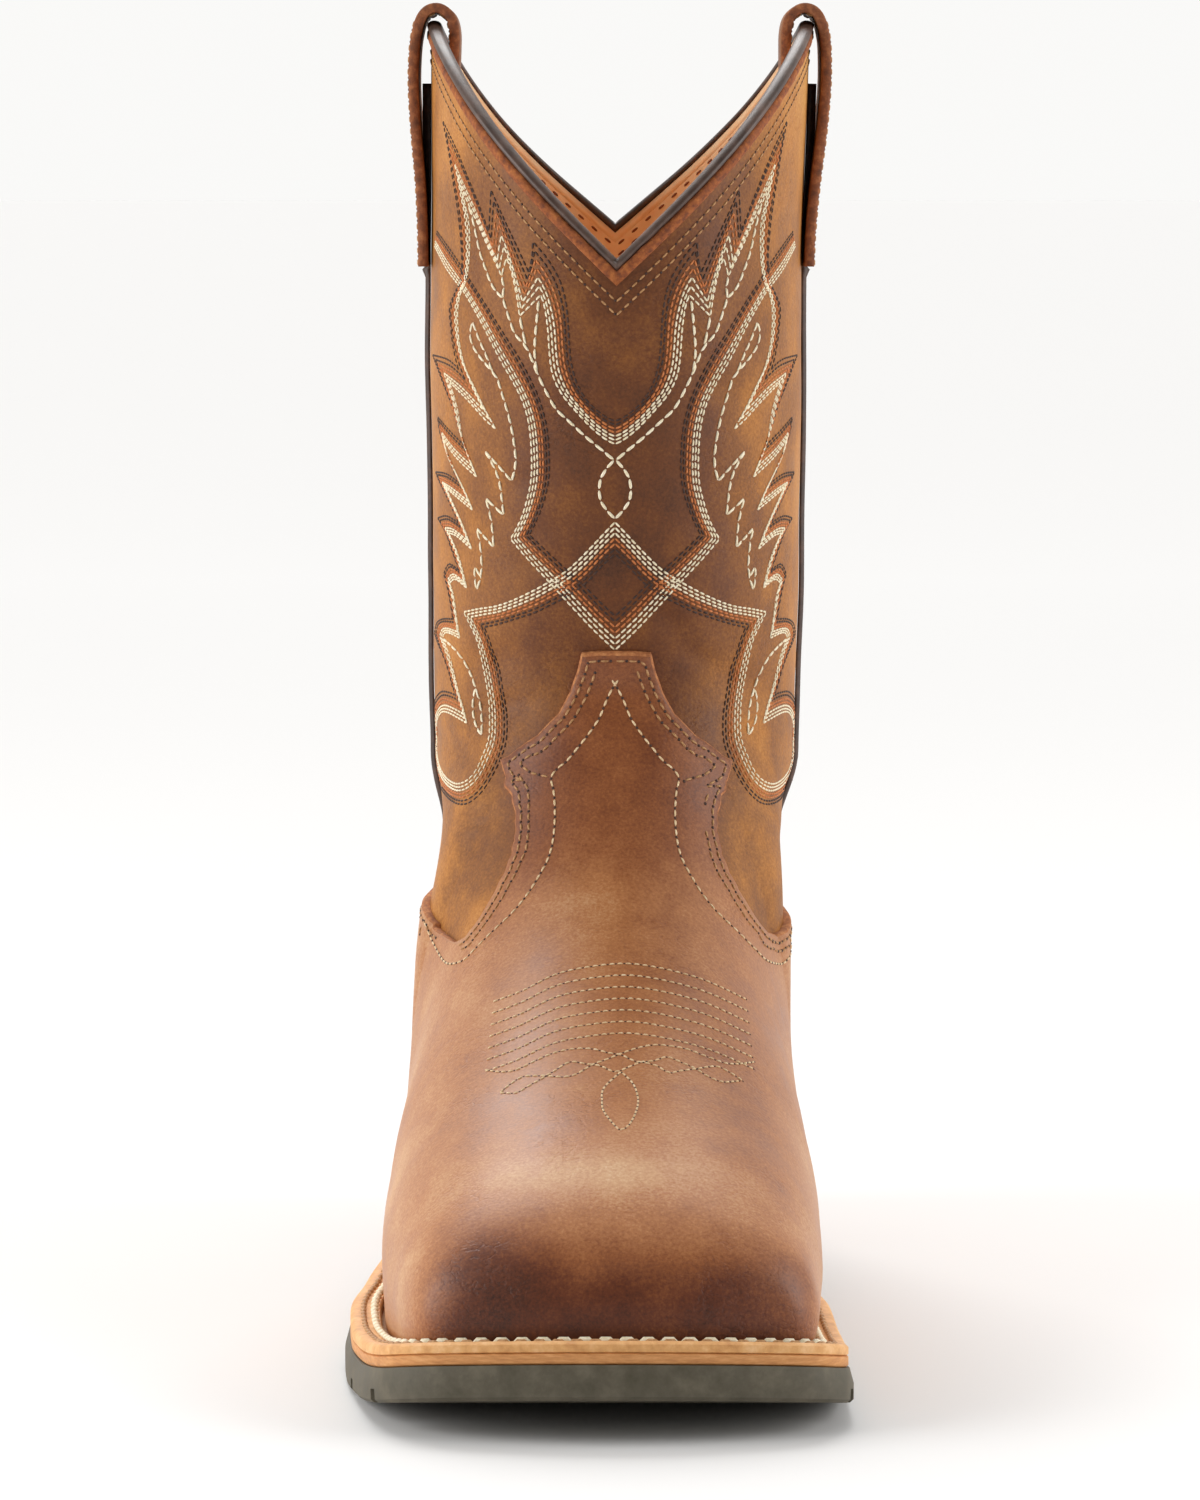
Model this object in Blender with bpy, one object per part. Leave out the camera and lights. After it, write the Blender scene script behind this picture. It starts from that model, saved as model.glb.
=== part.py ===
"""A men's western work boot, right foot, standing empty on its sole.

Lengths are in millimetres until the meshes are written, in metres. The boot's own
directions are x towards the big toe's side, s from the back of the heel to the toe,
and z up from the floor. In the file, +X is x, -Y is s and +Z is z.
"""

import math
from bisect import bisect_right

import bpy
from mathutils import Vector
from mathutils.geometry import delaunay_2d_cdt

MM = 0.001

# Driving sizes of the boot
SOLE_LENGTH = 310.0
BALL_WIDTH = 111.0
LAST_LENGTH = 299.2
SHAFT_TOP = 302.6
SHAFT_DEPTH = 146.0
SHAFT_HALF_WIDTH = 45.4
FRONT_DIP = 58.3
BACK_DIP = 51.4
INSTEP_RISE = 100.7
HEEL_RISE = 64.0
HEEL_HEIGHT = 30.0
TOE_SPRING = 10.0
SEAM_S = 75.0

# Thicknesses and clearances
GAP = 0.3
UPPER_WALL = 2.2
OVERLAY_WALL = 1.7
OUTSOLE_WALL = 7.7
MIDSOLE_WALL = 2.2
WELT_WALL = 2.5
INSOLE_WALL = 3.0
LIFT_WALL = 7.0
UPPER_LIFT = 0.5
WELT_CLEARANCE = 1.3
WELT_REACH_FOREPART = 9.6
WELT_REACH_HEEL = 5.5
WELT_SPREAD_FROM = 60.0
WELT_SPREAD_TO = 130.0
OUTSOLE_FLARE = 1.2

# Tread
GROOVE_STATIONS = (287.0, 256.0, 225.0, 194.0, 163.0)
GROOVE_WIDTH = 3.2
GROOVE_DEPTH = 3.0

# Heel block
BREAST_S = 76.0
HEEL_TAPER = 2.0
HEEL_SLANT = 3.5

# Trim
BINDING_HALF_WIDTH = 2.2
BINDING_HEIGHT = 3.4
PIPING_HALF_WIDTH = 1.4
PIPING_SHAFT_HEIGHT = 1.2
PIPING_FOOT_HEIGHT = 2.2
PIPING_BELOW_STRAP = 2.0
PIPING_DEEP_BELOW = 96.0
PIPING_SHALLOW_ABOVE = 112.0
STRAP_WIDTH = 28.0
STRAP_WALL = 2.4

# Columns of the upper's grid, on each side, behind and before the side seam
BACK_COLUMNS = 9
FRONT_COLUMNS = 15
COLUMNS = BACK_COLUMNS + FRONT_COLUMNS
AROUND = 2 * COLUMNS
TURN_WEIGHT = 25.0
LATERAL = -1.0
MEDIAL = 1.0

# Bottom of the sole along its length: share of length, of heel height, of toe spring, of outsole wall
SOLE_PROFILE = (
    (0.00, 1.00, 0.00, 0.62),
    (0.14, 1.00, 0.00, 0.62),
    (0.24, 0.93, 0.00, 0.62),
    (0.33, 0.76, 0.00, 0.62),
    (0.42, 0.50, 0.00, 0.66),
    (0.50, 0.24, 0.00, 0.80),
    (0.56, 0.08, 0.00, 0.94),
    (0.62, 0.00, 0.00, 1.00),
    (0.76, 0.00, 0.00, 1.00),
    (0.84, 0.00, 0.12, 1.00),
    (0.92, 0.00, 0.45, 1.00),
    (1.00, 0.00, 1.00, 1.00),
)

# Plan of the last, in mm: behind the toe tip, half width at the feather line and swell above it
LAST_PLAN = (
    # behind, lateral, medial, lateral swell, medial swell
    (0.0, 0.0, 0.0, 0.6, 0.8),
    (3.5, 27.5, 23.0, 0.8, 1.2),
    (6.0, 35.3, 31.0, 1.0, 1.3),
    (9.4, 40.0, 37.6, 1.0, 1.4),
    (17.0, 43.2, 40.4, 1.0, 1.8),
    (36.0, 46.8, 40.2, 1.0, 3.0),
    (60.0, 49.9, 39.6, 1.0, 5.0),
    (85.0, 51.0, 38.8, 1.2, 6.2),
    (113.0, 48.6, 34.6, 3.2, 10.0),
    (145.0, 42.6, 29.5, 7.0, 13.0),
    (170.0, 39.2, 27.6, 9.4, 13.8),
    (200.0, 36.2, 27.2, 8.4, 13.8),
    (235.0, 33.6, 29.0, 5.5, 10.0),
    (270.0, 32.4, 30.0, 3.4, 5.4),
    (300.0, 32.0, 30.0, 2.5, 4.0),
)

# Shaft sections: front reach and back reach as shares of the shaft's depth, front and back height
# as shares of its top, half widths as shares of its half width
SHAFT_SECTIONS = (
    # front, back, front height, back height, lateral, medial
    (1.007, 0.007, 0.8073, 0.8301, 0.998, 1.046),
    (1.007, 0.007, 0.7770, 0.7770, 1.000, 1.005),
    (0.976, 0.021, 0.6610, 0.6610, 1.000, 1.000),
    (0.945, 0.041, 0.5550, 0.5550, 1.000, 0.998),
    (0.911, 0.062, 0.4890, 0.4630, 0.995, 0.985),
    (0.938, 0.068, 0.4430, 0.3900, 0.985, 0.975),
)

# Foot sections: front reach as a share of the last's length, front rise as a share of the instep
# rise, back reach in mm, back rise as a share of the heel rise, half widths of the shaft's share,
# and how much of the foot's own form the section has
FOOT_SECTIONS = (
    # front, front rise, back, back rise, lateral, medial, foot share
    (0.487, 1.000, 9.5, 1.000, 0.985, 0.975, 0.35),
    (0.531, 0.895, 6.4, 0.812, 0.990, 0.970, 0.60),
    (0.585, 0.804, 4.0, 0.656, 1.000, 0.970, 0.85),
    (0.649, 0.717, 2.2, 0.516, 1.000, 0.970, 1.00),
    (0.716, 0.622, 1.3, 0.406, 1.000, 0.970, 1.00),
    (0.793, 0.532, 1.5, 0.312, 1.000, 0.970, 1.00),
    (0.860, 0.458, 2.2, 0.250, 1.000, 0.970, 1.00),
    (0.913, 0.377, 3.1, 0.195, 1.000, 0.970, 1.00),
    (0.9525, 0.292, 4.0, 0.156, 1.000, 0.970, 1.00),
    (0.981, 0.198, 4.9, 0.117, 1.000, 0.970, 1.00),
    (0.996, 0.114, 5.6, 0.078, 1.000, 0.970, 1.00),
    (1.000, 0.000, 6.4, 0.000, 1.000, 0.970, 1.00),
)

# Roundness of the foot's cross section along the boot
ROUNDNESS = ((0.0, 2.4), (133.0, 2.4), (190.0, 2.9), (240.0, 3.3), (285.0, 3.6))
HEEL_ROUND_REACH = 55.0
HEEL_ROUNDNESS = 2.4
SHAFT_ROUNDNESS = 2.25
SWELL_RISE = 0.35
RIDGE_SLOPE_ABOVE_THROAT = 8.0

# Sections of the upper's grid that become rows
ROWS = (0.0, 0.3, 0.65, 1.0, 1.5, 2.0, 2.5, 3.0, 3.5, 4.0, 4.5, 5.0, 5.5, 6.0,
        7.0, 8.0, 9.0, 10.0, 11.0, 12.0, 13.0, 14.0, 15.0, 16.0, 17.0)
LAST_ROW = len(ROWS) - 1
FEATHER = 17.0

# Edge of the vamp seen from the front: distance from the middle of the boot, height
VAMP_EDGE = (
    (0.0, 155.4),
    (4.0, 155.6),
    (8.2, 155.2),
    (10.7, 145.7),
    (13.4, 140.1),
    (18.2, 134.9),
    (24.9, 129.5),
    (27.0, 128.4),
    (25.9, 124.0),
    (24.2, 120.5),
    (23.2, 116.2),
    (23.5, 110.6),
    (25.0, 105.4),
    (27.7, 99.2),
    (31.2, 93.1),
    (34.4, 88.6),
    (36.8, 87.0),
    (39.2, 87.8),
)
VAMP_SEAM_HEIGHT = 99.0
COUNTER_SEAM_HEIGHT = 100.0
COUNTER_BACK_HEIGHT = 112.0
OVERLAY_FOOT = 0.16
SEAM_GROOVE = 0.2

# Middle of a pull strap's leather: outward from the side seam, height above the shaft's top
STRAP_PATH = (
    (1.60, -56.6),
    (1.75, -48.6),
    (2.40, -36.6),
    (3.50, -23.6),
    (4.05, -12.6),
    (3.85, -4.6),
    (3.30, -0.1),
    (2.20, 3.7),
    (0.30, 5.8),
    (-2.40, 6.1),
    (-4.90, 4.2),
    (-5.90, 0.8),
    (-5.90, -4.6),
    (-5.45, -17.6),
    (-5.30, -40.6),
)


def smooth(points):
    """A curve through the points that never overshoots them."""
    xs = [p[0] for p in points]
    ys = [p[1] for p in points]
    count = len(xs)
    step = [xs[i + 1] - xs[i] for i in range(count - 1)]
    rise = [(ys[i + 1] - ys[i]) / step[i] for i in range(count - 1)]
    slope = [rise[0]] + [0.0] * (count - 2) + [rise[-1]]
    for i in range(1, count - 1):
        if rise[i - 1] * rise[i] > 0.0:
            before = 2.0 * step[i] + step[i - 1]
            after = step[i] + 2.0 * step[i - 1]
            slope[i] = (before + after) / (before / rise[i - 1] + after / rise[i])

    def value(x):
        if x <= xs[0]:
            return ys[0]
        if x >= xs[-1]:
            return ys[-1]
        i = bisect_right(xs, x) - 1
        t = (x - xs[i]) / step[i]
        bend = (1.0 - t) ** 2
        return (ys[i] * (1.0 + 2.0 * t) * bend + step[i] * slope[i] * t * bend
                + ys[i + 1] * t * t * (3.0 - 2.0 * t) + step[i] * slope[i + 1] * t * t * (t - 1.0))

    return value


def column_curve(table, column, scale=1.0, start=0):
    """A curve through one column of a table, against its first column or its row number."""
    return smooth([(row[0] * scale if start is None else start + i, row[column])
                   for i, row in enumerate(table)])


def ease(low, high, x):
    """Goes from 0 at low to 1 at high with no corner."""
    t = min(max((x - low) / (high - low), 0.0), 1.0)
    return t * t * (3.0 - 2.0 * t)


def blend(a, b, t):
    return a + (b - a) * t


heel_share = column_curve(SOLE_PROFILE, 1, SOLE_LENGTH, None)
spring_share = column_curve(SOLE_PROFILE, 2, SOLE_LENGTH, None)
outsole_share = column_curve(SOLE_PROFILE, 3, SOLE_LENGTH, None)


def tread_z(s):
    """Height of the outsole's underside."""
    return HEEL_HEIGHT * heel_share(s) + TOE_SPRING * spring_share(s)


def outsole_z(s):
    """Height of the outsole's upper side."""
    return tread_z(s) + OUTSOLE_WALL * outsole_share(s)


def midsole_z(s):
    """Height of the midsole's upper side."""
    return outsole_z(s) + GAP + MIDSOLE_WALL


def feather_z(s):
    """Height of the upper's lower edge."""
    return midsole_z(s) + UPPER_LIFT


def plan_curve(column):
    """A column of the last's plan, drawn against the root of the distance so the toe is round."""
    curve = smooth([(math.sqrt(row[0]), row[column]) for row in LAST_PLAN])
    return lambda s: curve(math.sqrt(max(LAST_LENGTH - s, 0.0)))


feather_width = {LATERAL: plan_curve(1), MEDIAL: plan_curve(2)}
swell = {LATERAL: plan_curve(3), MEDIAL: plan_curve(4)}


def section_ends():
    """Front and back end of each section: reach and height of both."""
    ends = []
    for front, back, front_height, back_height, _, _ in SHAFT_SECTIONS:
        ends.append((front * SHAFT_DEPTH, front_height * SHAFT_TOP,
                     back * SHAFT_DEPTH, back_height * SHAFT_TOP))
    for front, front_rise, back, back_rise, _, _, _ in FOOT_SECTIONS:
        front_s = front * LAST_LENGTH
        ends.append((front_s, feather_z(front_s) + front_rise * INSTEP_RISE,
                     back, feather_z(back) + back_rise * HEEL_RISE))
    return ends


ENDS = section_ends()
front_s = column_curve(ENDS, 0)
front_z = column_curve(ENDS, 1)
back_s = column_curve(ENDS, 2)
back_z = column_curve(ENDS, 3)
HALF_WIDTHS = [row[4:6] for row in SHAFT_SECTIONS] + [row[4:6] for row in FOOT_SECTIONS]
shaft_width = {LATERAL: column_curve(HALF_WIDTHS, 0), MEDIAL: column_curve(HALF_WIDTHS, 1)}
foot_share = smooth([(0.0, 0.0), (5.0, 0.0)] + [(6.0 + i, row[6]) for i, row in enumerate(FOOT_SECTIONS)])
roundness = smooth(ROUNDNESS)
THROAT = 4.0
RIDGE = [(front_s(THROAT + 0.02 * i), front_z(THROAT + 0.02 * i)) for i in range(651)]
RIDGE_S = [p[0] for p in RIDGE]


def ridge_z(s):
    """Height of the foot's middle line."""
    if s <= RIDGE_S[0]:
        return RIDGE[0][1] + (RIDGE_S[0] - s) * RIDGE_SLOPE_ABOVE_THROAT
    if s >= RIDGE_S[-1]:
        return RIDGE[-1][1]
    i = bisect_right(RIDGE_S, s) - 1
    t = (s - RIDGE_S[i]) / max(RIDGE_S[i + 1] - RIDGE_S[i], 1e-9)
    return blend(RIDGE[i][1], RIDGE[i + 1][1], t)


def foot_x(side, s, z, heel_s):
    """Half width of the foot at one height."""
    rise = (z - feather_z(s)) / max(ridge_z(s) - feather_z(s), 1e-6)
    rise = min(max(rise, 0.0), 1.0)
    body = feather_width[side](s) + swell[side](s) * ease(0.0, SWELL_RISE, rise)
    crown = math.sqrt(max(1.0 - rise ** roundness(s), 0.0))
    near = min(max((s - heel_s) / HEEL_ROUND_REACH, 0.0), 1.0)
    heel = (1.0 - (1.0 - near) ** HEEL_ROUNDNESS) ** (1.0 / HEEL_ROUNDNESS)
    return body * crown * heel


def shaft_x(side, s, v):
    """Half width of the shaft's rounded section."""
    middle = 0.5 * (front_s(v) + back_s(v))
    reach = 0.5 * (front_s(v) - back_s(v))
    out = min(abs(s - middle) / reach, 1.0)
    half = SHAFT_HALF_WIDTH * shaft_width[side](v)
    return half * (1.0 - out ** SHAFT_ROUNDNESS) ** (1.0 / SHAFT_ROUNDNESS)


def section_point(v, side, t, share):
    """Point of section v: t runs 0 at the heel, 1 at the side seam, 2 at the front."""
    if t <= 1.0:
        s = back_s(v) + (SEAM_S - back_s(v)) * (1.0 - math.cos(0.5 * math.pi * t))
    else:
        s = SEAM_S + (front_s(v) - SEAM_S) * math.sin(0.5 * math.pi * (t - 1.0))
    along = (s - back_s(v)) / (front_s(v) - back_s(v))
    z = blend(back_z(v), front_z(v), along)
    follow = (max(v - 6.0, 0.0) / (FEATHER - 6.0)) ** 1.5
    z += follow * (feather_z(s) - blend(feather_z(back_s(v)), feather_z(front_s(v)), along))
    if v < 1.0:
        dip = blend(back_z(v), front_z(v), along)
        rise = SHAFT_TOP * (1.0 - v) + blend(back_z(1.0), front_z(1.0), along) * v - dip
        z += rise * math.sin(0.5 * math.pi * share)
    if t <= 0.0 or t >= 2.0:
        return Vector((0.0, s, z))
    weight = foot_share(v)
    x = 0.0
    if weight > 0.0:
        x += weight * foot_x(side, s, z, back_s(v))
    if weight < 1.0:
        x += (1.0 - weight) * shaft_x(side, s, v)
    return Vector((side * x, s, z))


def section_steps(v, side, low, samples):
    """Length and turning along half a section, from t = low to low + 1."""
    flat = []
    for i in range(samples + 1):
        point = section_point(v, side, low + i / samples, 0.0)
        flat.append((point.x, point.y))
    total = [0.0]
    arc = [0.0]
    heading = None
    for i in range(samples):
        dx = flat[i + 1][0] - flat[i][0]
        ds = flat[i + 1][1] - flat[i][1]
        angle = math.atan2(dx * side, ds)
        turn = 0.0 if heading is None else abs(angle - heading)
        heading = angle
        arc.append(arc[-1] + math.hypot(dx, ds))
        total.append(total[-1] + math.hypot(dx, ds) + TURN_WEIGHT * turn)
    return total, arc


def section_columns(v, side):
    """Parameter and length share of each column on one side, from the heel to the front."""
    columns = []
    for low, count, samples in ((0.0, BACK_COLUMNS, 60), (1.0, FRONT_COLUMNS, 120)):
        total, arc = section_steps(v, side, low, samples)
        for j in range(count + 1):
            if low > 0.0 and j == 0:
                continue
            target = total[-1] * j / count
            i = min(bisect_right(total, target) - 1, samples - 1)
            t = (target - total[i]) / max(total[i + 1] - total[i], 1e-9)
            share = blend(arc[i], arc[i + 1], t) / arc[-1]
            columns.append((low + (i + t) / samples, share if low == 0.0 else 1.0 - share))
    return columns


def upper_grid():
    """Rows of points from collar to feather line, each from the front round by the big toe's side."""
    rows = []
    for v in ROWS:
        medial = [section_point(v, MEDIAL, t, share) for t, share in section_columns(v, MEDIAL)]
        lateral = [section_point(v, LATERAL, t, share) for t, share in section_columns(v, LATERAL)]
        rows.append(medial[::-1] + lateral[1:-1])
    return rows


GRID = upper_grid()


def cell_triangles(c, r):
    """The two triangles of a grid cell, mirrored between the sides."""
    a = (c, r)
    b = (c + 1, r)
    d = (c, r + 1)
    e = (c + 1, r + 1)
    if c % AROUND < COLUMNS:
        return (a, e, b), (a, d, e)
    return (a, d, b), (b, d, e)


def grid_normals():
    """Outward normal at each grid point, from the triangles round it."""
    normals = [[Vector((0.0, 0.0, 0.0)) for _ in range(AROUND)] for _ in ROWS]
    for r in range(LAST_ROW):
        for c in range(AROUND):
            for corners in cell_triangles(c, r):
                p, q, w = [GRID[j][i % AROUND] for i, j in corners]
                face = (q - p).cross(w - p)
                for i, j in corners:
                    normals[j][i % AROUND] += face
    for row in normals:
        for normal in row:
            normal.normalize()
    return normals


NORMALS = grid_normals()
OUTWARD = 1.0 if NORMALS[LAST_ROW // 2][0].y > 0.0 else -1.0


def knot(c, r, out):
    """A grid point moved outward."""
    return GRID[r][c % AROUND] + NORMALS[r][c % AROUND] * (OUTWARD * out)


def skin(c, r, out):
    """A point on the upper's facets, moved outward. c and r are grid coordinates."""
    i = math.floor(c + 1e-7)
    j = min(math.floor(r + 1e-7), LAST_ROW - 1)
    x = c - i
    y = r - j
    a = knot(i, j, out)
    b = knot(i + 1, j, out)
    d = knot(i, j + 1, out)
    e = knot(i + 1, j + 1, out)
    if i % AROUND < COLUMNS:
        if x >= y:
            return a + (b - a) * x + (e - b) * y
        return a + (e - d) * x + (d - a) * y
    if x + y <= 1.0:
        return a + (b - a) * x + (d - a) * y
    return e + (d - e) * (1.0 - x) + (b - e) * (1.0 - y)


def new_object(name, points, faces, material, rounded):
    """An object from points in the boot's own millimetres."""
    mesh = bpy.data.meshes.new(name)
    mesh.from_pydata([(p.x * MM, -p.y * MM, p.z * MM) for p in points], [], faces)
    mesh.validate()
    obj = bpy.data.objects.new(name, mesh)
    obj.data.materials.append(material)
    PARTS.objects.link(obj)
    for polygon in mesh.polygons:
        polygon.use_smooth = rounded
    face_outward(mesh)
    return obj


def face_outward(mesh):
    """Turn all faces over when the closed mesh has them facing in."""
    volume = 0.0
    mesh.calc_loop_triangles()
    for triangle in mesh.loop_triangles:
        a, b, c = [mesh.vertices[i].co for i in triangle.vertices]
        volume += a.dot(b.cross(c))
    if volume < 0.0:
        mesh.flip_normals()


def make_material(name, colour, roughness):
    material = bpy.data.materials.new(name)
    material.use_nodes = True
    surface = material.node_tree.nodes["Principled BSDF"]
    surface.inputs["Base Color"].default_value = (*colour, 1.0)
    surface.inputs["Roughness"].default_value = roughness
    material.diffuse_color = (*colour, 1.0)
    return material


def build_upper(leather):
    """One hollow shell: outer facets, inner facets, collar rim and lower rim."""
    points = []
    for out in (0.0, -UPPER_WALL):
        for r in range(LAST_ROW + 1):
            points += [knot(c, r, out) for c in range(AROUND)]
    inner = AROUND * (LAST_ROW + 1)
    faces = []

    def index(c, r):
        return r * AROUND + c % AROUND

    for r in range(LAST_ROW):
        for c in range(AROUND):
            for corners in cell_triangles(c, r):
                outer_face = [index(i, j) for i, j in corners]
                faces.append(outer_face)
                faces.append([inner + k for k in reversed(outer_face)])
    for c in range(AROUND):
        faces.append((index(c, 0), index(c + 1, 0), inner + index(c + 1, 0), inner + index(c, 0)))
        faces.append((index(c + 1, LAST_ROW), index(c, LAST_ROW),
                      inner + index(c, LAST_ROW), inner + index(c + 1, LAST_ROW)))
    return new_object("upper", points, faces, leather, True)


def front_locate(x, z):
    """Grid coordinates of the front surface's point seen at x, z from the front."""
    best = None
    for r in range(LAST_ROW):
        for c in list(range(-FRONT_COLUMNS, FRONT_COLUMNS)):
            for corners in cell_triangles(c, r):
                p, q, w = [GRID[j][i % AROUND] for i, j in corners]
                area = (q.x - p.x) * (w.z - p.z) - (w.x - p.x) * (q.z - p.z)
                if abs(area) < 1e-9:
                    continue
                m = ((x - p.x) * (w.z - p.z) - (w.x - p.x) * (z - p.z)) / area
                n = ((q.x - p.x) * (z - p.z) - (x - p.x) * (q.z - p.z)) / area
                if m < -1e-6 or n < -1e-6 or m + n > 1.0 + 1e-6:
                    continue
                s = p.y + (q.y - p.y) * m + (w.y - p.y) * n
                if best is None or s > best[0]:
                    place = [corners[0][k] + (corners[1][k] - corners[0][k]) * m
                             + (corners[2][k] - corners[0][k]) * n for k in (0, 1)]
                    best = (s, place[0], place[1])
    return best[1], best[2]


def row_at_height(c, z):
    """Grid row on column c where the surface has height z."""
    for r in range(LAST_ROW):
        top = GRID[r][c % AROUND].z
        low = GRID[r + 1][c % AROUND].z
        if low <= z <= top:
            return r + (top - z) / (top - low)
    raise ValueError("height off the grid")


def overlay(name, outline, low_column, high_column, material):
    """A leather piece cut from the upper's own facets inside an outline of grid coordinates."""
    places = [Vector(p) for p in outline]
    ring = list(range(len(places)))
    index = {}
    for r in range(LAST_ROW + 1):
        for c in range(low_column, high_column + 1):
            index[c, r] = len(places)
            places.append(Vector((float(c), float(r))))
    edges = set()
    for r in range(LAST_ROW):
        for c in range(low_column, high_column):
            for corners in cell_triangles(c, r):
                for k in range(3):
                    pair = (index[corners[k]], index[corners[(k + 1) % 3]])
                    edges.add((min(pair), max(pair)))
    cut = delaunay_2d_cdt(places, sorted(edges), [ring], 0, 0.03)
    flat, triangles, sources = cut[0], cut[2], cut[5]
    kept = [face for face, source in zip(triangles, sources) if 0 in source]
    used = sorted({k for face in kept for k in face})
    number = {k: i for i, k in enumerate(used)}
    count = len(used)
    points = []
    for out in (GAP, GAP + OVERLAY_WALL):
        points += [skin(flat[k].x, flat[k].y, out) for k in used]
    faces = []
    sides = {}
    for face in kept:
        corners = [number[k] for k in face]
        faces.append(list(reversed(corners)))
        faces.append([count + k for k in corners])
        for k in range(3):
            sides[corners[k], corners[(k + 1) % 3]] = True
    for a, b in sides:
        if (b, a) not in sides:
            faces.append((a, b, count + b, count + a))
    return new_object(name, points, faces, material, True)


def build_vamp(leather):
    """The front overlay with its tongue-shaped top."""
    low = LAST_ROW - OVERLAY_FOOT
    inset = FRONT_COLUMNS - SEAM_GROOVE
    medial = [front_locate(x, z) for x, z in VAMP_EDGE[1:]]
    lateral = [front_locate(-x, z) for x, z in VAMP_EDGE[1:]]
    tip = front_locate(VAMP_EDGE[0][0] + 1e-4, VAMP_EDGE[0][1])
    outline = [(0.0, tip[1])] + medial
    outline.append((inset, row_at_height(FRONT_COLUMNS, VAMP_SEAM_HEIGHT)))
    outline += [(inset, low), (-inset, low)]
    outline.append((-inset, row_at_height(-FRONT_COLUMNS, VAMP_SEAM_HEIGHT)))
    outline += lateral[::-1]
    return overlay("vamp", outline, -FRONT_COLUMNS, FRONT_COLUMNS, leather)


def build_counter(leather):
    """The overlay round the heel, higher at the back."""
    low = LAST_ROW - OVERLAY_FOOT
    first = FRONT_COLUMNS + SEAM_GROOVE
    last = AROUND - first
    outline = [(first, low)]
    outline.append((first, row_at_height(FRONT_COLUMNS, COUNTER_SEAM_HEIGHT)))
    for c in range(FRONT_COLUMNS + 1, AROUND - FRONT_COLUMNS):
        share = 1.0 - abs(c - COLUMNS) / BACK_COLUMNS
        height = blend(COUNTER_SEAM_HEIGHT, COUNTER_BACK_HEIGHT, ease(0.0, 1.0, share))
        outline.append((float(c), row_at_height(c, height)))
    outline.append((last, row_at_height(AROUND - FRONT_COLUMNS, COUNTER_SEAM_HEIGHT)))
    outline.append((last, low))
    return overlay("counter", outline, FRONT_COLUMNS, AROUND - FRONT_COLUMNS, leather)


def welt_reach(s):
    """How far the welt stands out from the feather line."""
    return blend(WELT_REACH_HEEL, WELT_REACH_FOREPART, ease(WELT_SPREAD_FROM, WELT_SPREAD_TO, s))


def feather_outline(side, reach):
    """Plan outline at a distance from the feather line, as a list of s and half width."""
    count = 400
    edge = []
    for i in range(count + 1):
        point = section_point(FEATHER, side, 2.0 * i / count, 0.0)
        edge.append((abs(point.x), point.y))
    outline = []
    for i, (x, s) in enumerate(edge):
        before = edge[max(i - 1, 0)]
        after = edge[min(i + 1, count)]
        dx = after[0] - before[0]
        ds = after[1] - before[1]
        if i == 0:
            dx, ds = 1.0, 0.0
        if i == count:
            dx, ds = -1.0, 0.0
        length = math.hypot(dx, ds)
        outline.append((s - reach(s) * dx / length, x + reach(s) * ds / length))
    return outline


def half_width(outline, s):
    """Half width of an outline at s."""
    best = 0.0
    for (s0, x0), (s1, x1) in zip(outline, outline[1:]):
        if (s0 - s) * (s1 - s) <= 0.0 and s0 != s1:
            best = max(best, blend(x0, x1, (s - s0) / (s1 - s0)))
    return best


HEEL_JOIN = 24.0
TOE_JOIN = 280.0
JOIN_STATIONS = tuple(HEEL_JOIN + 12.8 * i for i in range(21))
END_SHARES = (0.006, 0.03, 0.09, 0.2, 0.36, 0.58, 0.8)


class Plan:
    """A plate's outline, cut by lines across the boot that all plates share between their ends."""

    def __init__(self, reach, low=None, high=None):
        self.outline = {side: feather_outline(side, reach) for side in (LATERAL, MEDIAL)}
        first = min(s for s, _ in self.outline[MEDIAL])
        last = max(s for s, _ in self.outline[MEDIAL])
        stations = [first + (HEEL_JOIN - first) * share for share in END_SHARES]
        stations += JOIN_STATIONS
        stations += [last - (last - TOE_JOIN) * share for share in reversed(END_SHARES)]
        if high is not None:
            stations = [s for s in stations if s < high - 2.0] + [high]
        self.stations = stations

    def row(self, s):
        lateral = half_width(self.outline[LATERAL], s)
        medial = half_width(self.outline[MEDIAL], s)
        return -lateral, medial


def closed_stack(layers):
    """Points and faces of a body made of layers, each a list of pairs of points along the boot."""
    count = len(layers[0])
    points = []
    for layer in layers:
        for left, right in layer:
            points += [left, right]
    faces = []
    for i in range(count - 1):
        a = 2 * i
        faces.append((a, a + 1, a + 3, a + 2))
        b = a + 2 * count * (len(layers) - 1)
        faces.append((b, b + 2, b + 3, b + 1))
    for level in range(len(layers) - 1):
        low = 2 * count * level
        high = low + 2 * count
        for i in range(count - 1):
            a = low + 2 * i
            b = high + 2 * i
            faces.append((a, a + 2, b + 2, b))
            faces.append((a + 3, a + 1, b + 1, b + 3))
        faces.append((low + 1, low, high, high + 1))
        end = 2 * (count - 1)
        faces.append((low + end, low + end + 1, high + end + 1, high + end))
    return points, faces


def plate_layer(plan, height):
    """One layer of a plate: the plan's rows at a height that follows s."""
    layer = []
    for s in plan.stations:
        left, right = plan.row(s)
        z = height(s)
        layer.append((Vector((left, s, z)), Vector((right, s, z))))
    return layer


def aligned_layer(plan, target, height):
    """A layer with another plan's outline, its rows kept beside the target plan's rows."""
    layer = []
    first, last = plan.stations[0], plan.stations[-1]
    for s in target.stations:
        near = min(max(s, first), last)
        left, right = plan.row(near)
        layer.append((Vector((left, near, height(near))), Vector((right, near, height(near)))))
    return layer


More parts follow.
